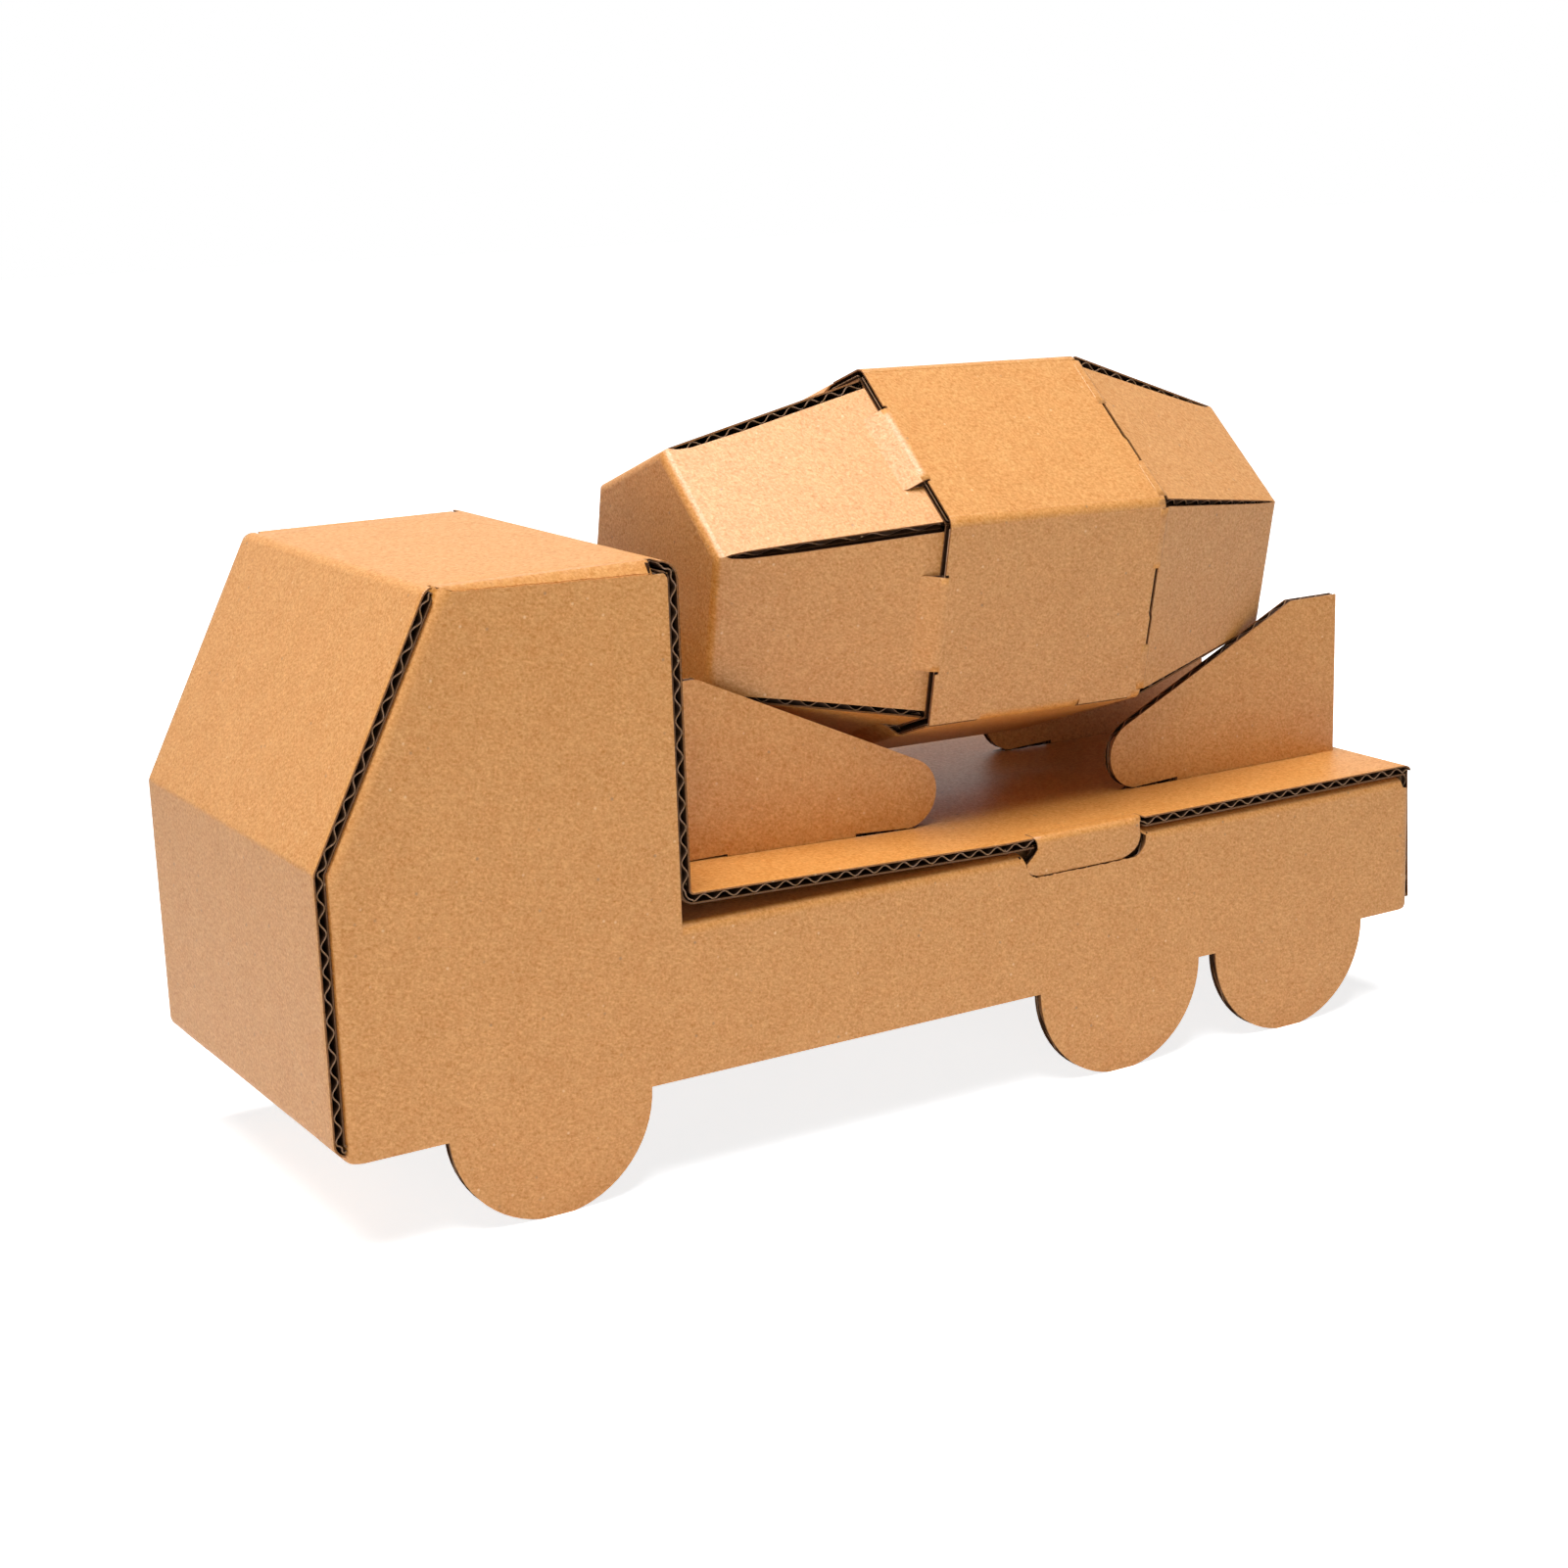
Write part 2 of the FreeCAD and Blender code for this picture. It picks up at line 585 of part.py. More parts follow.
def drumWrap():
    """The outer sheet: six-sided band, rear taper panels and rear cap."""
    outerBand = prism("bandOuter", "sizes.drumSide", bandStart, "sizes.bandLength")
    innerBand = prism("bandInner", f"sizes.drumSide - {wallAcross}", bandStart, "sizes.bandLength")
    wall = taperWall("rear")
    outerCone = frustum("rearOuter", "sizes.drumSide", bandEnd, "sizes.drumEndSide", drumEnd)
    innerCone = frustum("rearInner", f"sizes.drumSide - {wall}", bandEnd,
                        capInside("rear"), f"{drumEnd} - sizes.board")
    shells = [cut("bandShell", outerBand, innerBand), cut("rearShell", outerCone, innerCone)]
    wrap = joined("wrapSolid", shells + lugBlocks("lug", "0"))
    slits = []
    for i in range(6):
        slit = part("Part::Box", f"bandSlit{i}", Length="6 * sizes.board", Height="sizes.slitWidth",
                    Width="sizes.drumSide * (sizes.slitEnd - sizes.slitStart)")
        slits.append(turned(slit, 60 * i + 30, f"{facetAcross} - 3 * sizes.board",
                            "sizes.drumSide * (sizes.slitStart - 0.5)", bandEnd))
    grooves = ridgeGrooves("rearGroove", bandEnd, f"sizes.drumSide - {wall} - sizes.grooveThrough",
                           f"{drumEnd} - sizes.board", "sizes.drumEndSide")
    return layAlong(cut("wrapCut", wrap, joined("wrapTools", slits + grooves)), "drum_wrap")


def drumNose():
    """The inner sheet: front cap, six taper panels and the tongues that run in under the band."""
    tongue = f"(sizes.drumSide - {wallAcross})"
    wall = taperWall("nose")
    outerCone = frustum("noseOuter", "sizes.drumEndSide", "0", tongue, bandStart)
    innerCone = frustum("noseInner", capInside("nose"), "sizes.board", f"{tongue} - {wall}", bandStart)
    outerTongue = prism("tongueOuter", tongue, bandStart, "sizes.tongueLength")
    innerTongue = prism("tongueInner", f"{tongue} - {wall}", bandStart, "sizes.tongueLength")
    nose = joined("noseSolid", [cut("noseShell", outerCone, innerCone),
                                cut("tongueShell", outerTongue, innerTongue)])
    inner = f"{tongue} - {wall} - sizes.grooveThrough"
    grooves = ridgeGrooves("noseGroove", bandStart, inner, "sizes.board", "sizes.drumEndSide")
    grooves += ridgeGrooves("tongueGroove", bandStart, inner, f"{bandStart} + sizes.tongueLength + 1", inner)
    openings = lugBlocks("lugOpening", "sizes.lugPlay")
    return layAlong(cut("noseCut", nose, joined("noseTools", grooves + openings)), "drum_nose")


def main():
    parts = [truckBody()]
    for pair in ("front", "rear"):
        for far in (False, True):
            parts.append(cradlePlate(pair, far))
    parts.append(drumWrap())
    parts.append(drumNose())
    doc.recompute()
    for item in doc.Objects:
        if {"Invalid", "Error"} & set(item.State):
            raise RuntimeError(f"{item.Name} failed: {item.State}")
    os.makedirs("parts", exist_ok=True)
    for item in parts:
        if item.Shape.isNull() or not item.Shape.isValid():
            raise RuntimeError(f"{item.Label} has no valid shape")
        item.Shape.exportStep(f"parts/{item.Label}.step")
        spread = item.Shape.BoundBox
        print(f"{item.Label}: {len(item.Shape.Solids)} solid, {item.Shape.Volume:.0f} mm3, "
              f"x {spread.XMin:.1f}..{spread.XMax:.1f}, y {spread.YMin:.1f}..{spread.YMax:.1f}, "
              f"z {spread.ZMin:.1f}..{spread.ZMax:.1f}")


main()
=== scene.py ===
# Toy concrete mixer truck folded from corrugated board: liners, flutes and creases, dressed on the frame.
import math

import bmesh
import bpy
from mathutils import Matrix, Vector, geometry, noise


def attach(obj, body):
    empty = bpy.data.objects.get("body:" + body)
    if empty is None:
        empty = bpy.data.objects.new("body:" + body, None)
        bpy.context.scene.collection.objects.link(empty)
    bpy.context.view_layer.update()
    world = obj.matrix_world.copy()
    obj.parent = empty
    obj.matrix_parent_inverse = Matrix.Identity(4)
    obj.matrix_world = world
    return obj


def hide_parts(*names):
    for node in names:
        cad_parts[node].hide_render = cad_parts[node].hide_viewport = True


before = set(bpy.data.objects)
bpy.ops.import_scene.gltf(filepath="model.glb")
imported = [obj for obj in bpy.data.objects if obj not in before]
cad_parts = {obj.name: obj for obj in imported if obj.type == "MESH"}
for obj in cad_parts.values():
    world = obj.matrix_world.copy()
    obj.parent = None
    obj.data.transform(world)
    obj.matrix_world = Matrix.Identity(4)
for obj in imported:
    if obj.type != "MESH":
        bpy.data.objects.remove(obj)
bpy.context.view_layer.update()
mm = 0.001


class Net:
    def __init__(self, tree):
        self.tree = tree

    def add(self, kind, values=None, **settings):
        node = self.tree.nodes.new(kind)
        for key, value in settings.items():
            setattr(node, key, value)
        for key, value in (values or {}).items():
            if isinstance(value, bpy.types.NodeSocket):
                self.tree.links.new(value, node.inputs[key])
            else:
                node.inputs[key].default_value = value
        return node

    def link(self, source, target):
        self.tree.links.new(source, target)

    def sum(self, operation, a, b=0.0, clamp=False):
        return self.add("ShaderNodeMath", {0: a, 1: b}, operation=operation, use_clamp=clamp).outputs[0]

    def band(self, value, low, high, to=(0.0, 1.0)):
        return self.add("ShaderNodeMapRange", {"Value": value, "From Min": low, "From Max": high,
                                               "To Min": to[0], "To Max": to[1]}).outputs["Result"]

    def mix(self, share, a, b, way="MIX"):
        node = self.add("ShaderNodeMix", data_type="RGBA", blend_type=way)
        for socket, value in zip((node.inputs[0], node.inputs[6], node.inputs[7]), (share, a, b)):
            if isinstance(value, bpy.types.NodeSocket):
                self.tree.links.new(value, socket)
            else:
                socket.default_value = value
        return node.outputs[2]


studio = {
    "target": (-0.4, 9.5, 45.1),      # mm, the point the camera looks at
    "distance": 440.1,
    "azimuth": -30.915,
    "elevation": 13.893,
    "roll": -1.878,
    "lens": 60.66,
    "floorSize": 6.0,
    "floorColour": (0.92, 0.92, 0.92, 1.0),
    "floorGlow": 0.82,                # white that the camera sees on the floor besides the lamps' light
    "worldStrength": 0.0,
    "suns": (("overhead", (0.0, 0.0, 1.0), 20.0, 1.3),),     # name, from where, softness, strength
    "panels": (("left", (-0.7, -0.3, 0.12), 0.4, 0.55),      # name, place in metres, width, watts
               ("near", (-0.3, -0.75, 0.10), 0.5, 0.74),
               ("above", (-0.2, -0.15, 0.85), 0.5, 8.0)),
    "aim": (0.0, 0.0, 0.05),
}


def addCamera():
    az, el, roll = (math.radians(studio[k]) for k in ("azimuth", "elevation", "roll"))
    target = Vector(studio["target"]) * mm
    back = Vector((math.sin(az) * math.cos(el), -math.cos(az) * math.cos(el), math.sin(el)))
    level = Vector((math.cos(az), math.sin(az), 0.0))
    upright = back.cross(level)
    right = level * math.cos(roll) + upright * math.sin(roll)
    up = upright * math.cos(roll) - level * math.sin(roll)
    data = bpy.data.cameras.new("camera")
    data.lens = studio["lens"]
    data.sensor_width = 36.0
    data.clip_start = 0.01
    data.clip_end = 20.0
    camera = bpy.data.objects.new("camera", data)
    turn = Matrix((right, up, back)).transposed()
    camera.matrix_world = Matrix.Translation(target + back * studio["distance"] * mm) @ turn.to_4x4()
    bpy.context.scene.collection.objects.link(camera)
    bpy.context.scene.camera = camera


def addLamp(name, kind, turn, place=(0, 0, 0), **values):
    data = bpy.data.lights.new(name, kind)
    for key, value in values.items():
        setattr(data, key, value)
    lamp = bpy.data.objects.new(name, data)
    lamp.location = place
    lamp.rotation_euler = turn.to_euler()
    bpy.context.scene.collection.objects.link(lamp)


def seenBy(net, labels):
    path = net.add("ShaderNodeLightPath")
    seen = path.outputs[labels[0]]
    for label in labels[1:]:
        seen = net.sum("MAXIMUM", seen, path.outputs[label])
    return seen


def addStudio():
    mesh = bpy.data.meshes.new("floor")
    h = studio["floorSize"] / 2
    mesh.from_pydata([(-h, -h, 0), (h, -h, 0), (h, h, 0), (-h, h, 0)], [], [(0, 1, 2, 3)])
    floor = bpy.data.objects.new("floor", mesh)
    bpy.context.scene.collection.objects.link(floor)
    mat = bpy.data.materials.new("studioFloor")
    mat.use_nodes = True
    net = Net(mat.node_tree)
    principled = net.tree.nodes["Principled BSDF"]
    principled.inputs["Base Color"].default_value = studio["floorColour"]
    principled.inputs["Roughness"].default_value = 0.9
    principled.inputs["Specular IOR Level"].default_value = 0.0
    strength = net.sum("MULTIPLY", seenBy(net, ("Is Camera Ray",)), studio["floorGlow"])
    glow = net.add("ShaderNodeEmission", {"Strength": strength})
    both = net.add("ShaderNodeAddShader", {0: principled.outputs["BSDF"], 1: glow.outputs["Emission"]})
    net.link(both.outputs["Shader"], net.tree.nodes["Material Output"].inputs["Surface"])
    mesh.materials.append(mat)
    world = bpy.data.worlds.new("studio")
    bpy.context.scene.world = world
    world.use_nodes = True
    net = Net(world.node_tree)
    background = net.tree.nodes["Background"]
    background.inputs["Color"].default_value = (1, 1, 1, 1)
    seen = seenBy(net, ("Is Camera Ray", "Is Glossy Ray", "Is Transmission Ray"))
    net.link(net.band(seen, 0.0, 1.0, (studio["worldStrength"], 1.0)), background.inputs["Strength"])
    for name, direction, spreadAngle, strength in studio["suns"]:
        addLamp(name, "SUN", Vector(direction).to_track_quat("Z", "Y"), angle=math.radians(spreadAngle),
                energy=strength)
    for name, place, width, watts in studio["panels"]:
        turn = (Vector(studio["aim"]) - Vector(place)).to_track_quat("-Z", "Y")
        addLamp(name, "AREA", turn, place, shape="SQUARE", size=width, energy=watts)
    bpy.context.scene.view_settings.view_transform = "Standard"
    print("studio ready")


board = {
    "thickness": 1.7,       # mm, outside to outside of the two liners
    "liner": 0.28,
    "paper": 0.2,           # the fluted layer's own sheet
    "pitch": 3.5,
    "flutePoints": 12,      # points along one wave
    "wobble": 0.12,         # how unevenly the flutes are pressed, and how quickly that changes
    "wobbleScale": 130.0,
    "foldRoom": 0.45,       # share of the wave's height that is left inside a fold
    "rowLength": 9.0,       # a flute longer than this is divided
    "weld": 0.02,           # points closer than this become one
    "web": 0.3,             # how far inside a cut the board closes
    "smoothUpTo": 34.0,     # degrees; sharper edges stay sharp
}


def newBag():
    return {"points": [], "faces": [], "inner": [], "across": [], "outward": [], "room": []}


def faceNormal(points):
    total = Vector((0, 0, 0))
    for i, p in enumerate(points):
        total += (p - points[0]).cross(points[(i + 1) % len(points)] - points[0])
    return total


def addFaces(bag, points, faces, outward, inner=0):
    total = sum((faceNormal([points[i] for i in f]).dot(outward) for f in faces), 0.0)
    start = len(bag["points"])
    bag["points"] += points
    for f in faces:
        f = [start + i for i in f]
        bag["faces"].append(f if total > 0 else f[::-1])
        bag["inner"].append(inner)


def addGrid(bag, rows, outward, skip=None, inner=0):
    wide = len(rows[0])
    faces = []
    for i in range(len(rows) - 1):
        for j in range(wide - 1):
            if skip and skip(i, j):
                continue
            faces.append([i * wide + j, (i + 1) * wide + j, (i + 1) * wide + j + 1, i * wide + j + 1])
    addFaces(bag, [p for row in rows for p in row], faces, outward, inner)


def addFlat(bag, loop, outward, inner=0):
    # fills a flat outline with well-shaped triangles
    n = faceNormal(loop).normalized()
    u = n.orthogonal().normalized()
    v = n.cross(u)
    flat = [Vector((p.dot(u), p.dot(v))) for p in loop]
    spots, _, faces, _, _, _ = geometry.delaunay_2d_cdt(flat, [], [list(range(len(loop)))], 1, 1e-4)
    level = sum(p.dot(n) for p in loop) / len(loop)
    addFaces(bag, [u * q.x + v * q.y + n * level for q in spots], [list(f) for f in faces], outward, inner)


def bezier(a, b, c, steps):
    return [a * (1 - t) ** 2 + b * 2 * t * (1 - t) + c * t * t for t in (i / steps for i in range(steps + 1))]


def spread(a, b, step):
    count = max(1, int(round(abs(b - a) / step)))
    return [a + (b - a) * i / count for i in range(count + 1)]


def divided(a, b, count):
    return [a + (b - a) * i / count for i in range(count)]


def turned(v, a):
    return Vector((v.x * math.cos(a) - v.y * math.sin(a), v.x * math.sin(a) + v.y * math.cos(a)))


def roundCorners(corners, closed=True, steps=6):
    out = []
    n = len(corners)
    for i, (x, y, r) in enumerate(corners):
        p = Vector((x, y))
        if r <= 0 or (not closed and i in (0, n - 1)):
            out.append(p)
            continue
        a, b = Vector(corners[i - 1][:2]), Vector(corners[(i + 1) % n][:2])
        u, v = (a - p).normalized(), (b - p).normalized()
        half = math.acos(max(-1, min(1, u.dot(v)))) / 2
        reach = r / math.tan(half)
        if reach < 1e-6:
            out.append(p)
            continue
        centre = p + (u + v).normalized() * (r / math.sin(half))
        first, last = p + u * reach - centre, p + v * reach - centre
        turn = math.atan2(first.cross(last), first.dot(last))
        for k in range(steps + 1):
            out.append(centre + turned(first, turn * k / steps))
    return out


def insetLoop(loop, distances):
    out = []
    n = len(loop)
    for i, p in enumerate(loop):
        e1, e2 = p - loop[i - 1], loop[(i + 1) % n] - p
        n1, n2 = Vector((-e1.y, e1.x)).normalized(), Vector((-e2.y, e2.x)).normalized()
        d1, d2 = distances[i - 1], distances[i]
        det = n1.x * n2.y - n1.y * n2.x
        if abs(det) < 0.02:
            out.append(p + (n1 * d1 + n2 * d2) / 2)
        else:
            out.append(p + Vector(((d1 * n2.y - d2 * n1.y) / det, (d2 * n1.x - d1 * n2.x) / det)))
    return out


def fluteColumns(bag, loop, heading, toSpace, outward, phase=0.0):
    heading = Vector(heading).normalized()
    across = Vector((heading.y, -heading.x))
    n = len(loop)
    cuts, jumps = set(), []
    for i in range(n):
        a, b = loop[i], loop[(i + 1) % n]
        if abs((b - a).dot(across)) < 0.01 * (b - a).length + 1e-6:
            c = a.dot(across)
            jumps.append(c)
            cuts.update((c - 0.003, c + 0.003))
    low, high = min(p.dot(across) for p in loop), max(p.dot(across) for p in loop)
    step = board["pitch"] / board["flutePoints"]
    cuts.update(low + (i + 0.5) * step for i in range(int((high - low) / step)))
    cuts = sorted(c for c in cuts if low < c < high)
    last = None
    for c in cuts:
        hits = []
        for i in range(n):
            a, b = loop[i], loop[(i + 1) % n]
            ca, cb = a.dot(across), b.dot(across)
            if (ca < c) != (cb < c):
                t = (c - ca) / (cb - ca)
                hits.append((a + (b - a) * t).dot(heading))
        hits.sort()
        here = [(hits[k], hits[k + 1]) for k in range(0, len(hits) - 1, 2)]
        columns = []
        for k, (h0, h1) in enumerate(here):
            rows = 1 + int(max(0.0, h1 - h0) / board["rowLength"])
            if last and len(last[1]) == len(here):
                rows = last[1][k][1]
            column = [len(bag["points"]) + j for j in range(rows + 1)]
            for j in range(rows + 1):
                spot = across * c + heading * (h0 + (h1 - h0) * j / rows)
                bag["points"].append(toSpace(spot.x, spot.y, board["thickness"] / 2))
                bag["across"].append(c + phase)
                bag["outward"].append(outward)
                bag["room"].append(1.0)
            columns.append((column, rows))
        if last and len(last[1]) == len(columns) and not any(last[0] < j < c for j in jumps):
            for (before, rows), (after, _) in zip(last[1], columns):
                for j in range(rows):
                    bag["faces"].append([before[j], after[j], after[j + 1], before[j + 1]])
        last = (c, columns)


def addWebs(bag, loop, heading, space, edges=None):
    # where a cut runs along the flutes, the last flute closes the board a little inside the edge
    ring = insetLoop(loop, [board["web"]] * len(loop))
    heading = Vector(heading).normalized()
    d0, d1 = board["liner"] - 0.05, board["thickness"] - board["liner"] + 0.05
    for i, p in enumerate(loop):
        step = loop[(i + 1) % len(loop)] - p
        if step.length < 0.05 or (edges and not edges[i]) or abs(step.normalized().dot(heading)) < 0.75:
            continue
        a, b = ring[i], ring[(i + 1) % len(loop)]
        away = Vector((step.y, -step.x))
        outward = space(p.x + away.x, p.y + away.y, 0) - space(p.x, p.y, 0)
        addGrid(bag, [[space(q.x, q.y, d0), space(q.x, q.y, d1)] for q in (a, b)], outward, inner=2)


def makePiece(name, bag, mats):
    mesh = bpy.data.meshes.new(name)
    mesh.from_pydata([p * mm for p in bag["points"]], [], bag["faces"])
    mesh.polygons.foreach_set("material_index", bag["inner"])
    work = bmesh.new()
    work.from_mesh(mesh)
    bmesh.ops.remove_doubles(work, verts=work.verts, dist=board["weld"] * mm)
    bmesh.ops.dissolve_degenerate(work, edges=work.edges, dist=0.005 * mm)
    for face in work.faces:
        face.smooth = len(face.verts) == 4      # the folds are made of four-sided faces
    for edge in work.edges:
        if len(edge.link_faces) == 2:
            edge.smooth = edge.calc_face_angle(3.2) < math.radians(board["smoothUpTo"])
    work.to_mesh(mesh)
    work.free()
    for mat in mats:
        mesh.materials.append(mat)
    piece = bpy.data.objects.new(name, mesh)
    bpy.context.scene.collection.objects.link(piece)
    solid = piece.modifiers.new("liner", "SOLIDIFY")
    solid.thickness = board["liner"] * mm
    solid.offset = -1.0
    # the cut edges take the cut colours; the liners' backs take the near-black hollow colour, which is painted
    # shade of the cavities between the liners
    solid.material_offset_rim = 2
    solid.material_offset = 4
    weigh = piece.modifiers.new("even", "WEIGHTED_NORMAL")
    weigh.keep_sharp = True
    return piece


def pressSizes():
    wave = board["thickness"] - 2 * board["liner"] - board["paper"]
    return {"Pitch": board["pitch"] * mm, "Wave Height": wave * mm, "Wobble": board["wobble"]}


def fluteTree():
    tree = bpy.data.node_groups.new("pressFlutes", "GeometryNodeTree")
    face = tree.interface
    face.new_socket("Blank", in_out="INPUT", socket_type="NodeSocketGeometry")
    for label, value in pressSizes().items():
        face.new_socket(label, in_out="INPUT", socket_type="NodeSocketFloat").default_value = value
    face.new_socket("Paper", in_out="INPUT", socket_type="NodeSocketMaterial")
    face.new_socket("Fluted", in_out="OUTPUT", socket_type="NodeSocketGeometry")
    net = Net(tree)
    start, end = net.add("NodeGroupInput"), net.add("NodeGroupOutput")

    def named(label, kind):
        return net.add("GeometryNodeInputNamedAttribute", {"Name": label}, data_type=kind).outputs["Attribute"]

    place = net.add("GeometryNodeInputPosition").outputs["Position"]
    grain = net.add("ShaderNodeTexNoise", {"Vector": place, "Scale": board["wobbleScale"], "Detail": 1.0})
    sway = net.sum("MULTIPLY", net.sum("SUBTRACT", grain.outputs["Fac"], 0.5), start.outputs["Wobble"])
    turns = net.sum("DIVIDE", named("across", "FLOAT"), start.outputs["Pitch"])
    angle = net.sum("MULTIPLY", net.sum("ADD", turns, sway), 2 * math.pi)
    lift = net.sum("MULTIPLY", net.sum("SINE", angle), net.sum("MULTIPLY", start.outputs["Wave Height"], 0.5))
    lift = net.sum("MULTIPLY", lift, named("room", "FLOAT"))
    scale = net.add("ShaderNodeVectorMath", operation="SCALE")
    net.link(named("outward", "FLOAT_VECTOR"), scale.inputs[0])
    net.link(lift, scale.inputs["Scale"])
    shift = net.add("GeometryNodeSetPosition", {"Geometry": start.outputs["Blank"],
                                                "Offset": scale.outputs["Vector"]})
    smooth = net.add("GeometryNodeSetShadeSmooth", {"Geometry": shift.outputs["Geometry"]})
    real = net.add("GeometryNodeRealizeInstances", {"Geometry": smooth.outputs["Geometry"]})
    sheet = net.add("GeometryNodeSetMaterial", {"Geometry": real.outputs["Geometry"],
                                                "Material": start.outputs["Paper"]})
    net.link(sheet.outputs["Geometry"], end.inputs["Fluted"])
    return tree


def makeFlutes(name, bag, tree, mats):
    blank = bpy.data.meshes.new(name + "Blank")
    blank.from_pydata([p * mm for p in bag["points"]], [], bag["faces"])
    for label, values in (("across", [v * mm for v in bag["across"]]), ("room", bag["room"])):
        layer = blank.attributes.new(label, "FLOAT", "POINT")
        layer.data.foreach_set("value", values)
    layer = blank.attributes.new("outward", "FLOAT_VECTOR", "POINT")
    layer.data.foreach_set("vector", [c for v in bag["outward"] for c in v])
    source = bpy.data.objects.new(name + "Blank", blank)
    bpy.context.scene.collection.objects.link(source)
    press = source.modifiers.new("press", "NODES")
    press.node_group = tree
    spots = {i.name: i.identifier for i in tree.interface.items_tree if i.in_out == "INPUT"}
    for label, value in pressSizes().items():
        press[spots[label]] = value
    # the fluted sheet's faces take the near-black hollow colour, painted shade of the cavities; only its cut
    # rims keep the flute paper colour
    press[spots["Paper"]] = mats["hollow"]
    graph = bpy.context.evaluated_depsgraph_get()
    mesh = bpy.data.meshes.new_from_object(source.evaluated_get(graph))
    mesh.name = name
    mesh.materials.append(mats["flutePaper"])
    bpy.data.objects.remove(source)
    piece = bpy.data.objects.new(name, mesh)
    bpy.context.scene.collection.objects.link(piece)
    solid = piece.modifiers.new("paper", "SOLIDIFY")
    solid.thickness = board["paper"] * mm
    solid.offset = 0.0
    solid.material_offset_rim = 1
    return piece


def dress(name, node, key, liners, flutes, tree, mats):
    for piece in (makePiece(name + "_liners", liners, mats[key]),
                  makeFlutes(name + "_flutes", flutes, tree, mats)):
        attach(piece, "root")
        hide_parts(node)


paper = {
    "outer": (0.60, 0.264, 0.056, 1),      # the liner seen from outside
    "inner": (0.36, 0.185, 0.078, 1),      # the browner liner inside
    "cut": (0.27, 0.125, 0.05, 1),
    "cutInner": (0.15, 0.075, 0.035, 1),
    "fluteCut": (0.26, 0.155, 0.09, 1),
    # painted shade: near black, it darkens the board's deep flute cavities rather than giving the paper's own
    # colour
    "hollow": (0.045, 0.021, 0.010, 1),
    "darkTone": (0.77, 0.60, 0.10, 1),      # what the grain does to the colour in its low and high spots
    "paleTone": (1.20, 1.32, 1.79, 1),
    "grain": 2500.0,                        # per metre
    "strandTurns": ((0.4, 0.9, 0.7), (-0.6, -0.8, -1.0)),
    "strandStretch": 2.8,
    "mottle": 150.0,
    "fleck": 330.0,
    # width, how much closer they lie, colour, strength
    "flecks": ((0.11, 1.0, (0.22, 0.12, 0.06, 1), 0.8), (0.12, 1.27, (0.88, 0.62, 0.36, 1), 0.7)),
    "strandShare": 0.55,
    "fineShare": 0.45,
    "roughness": 0.48,
    "specular": 0.8,
}


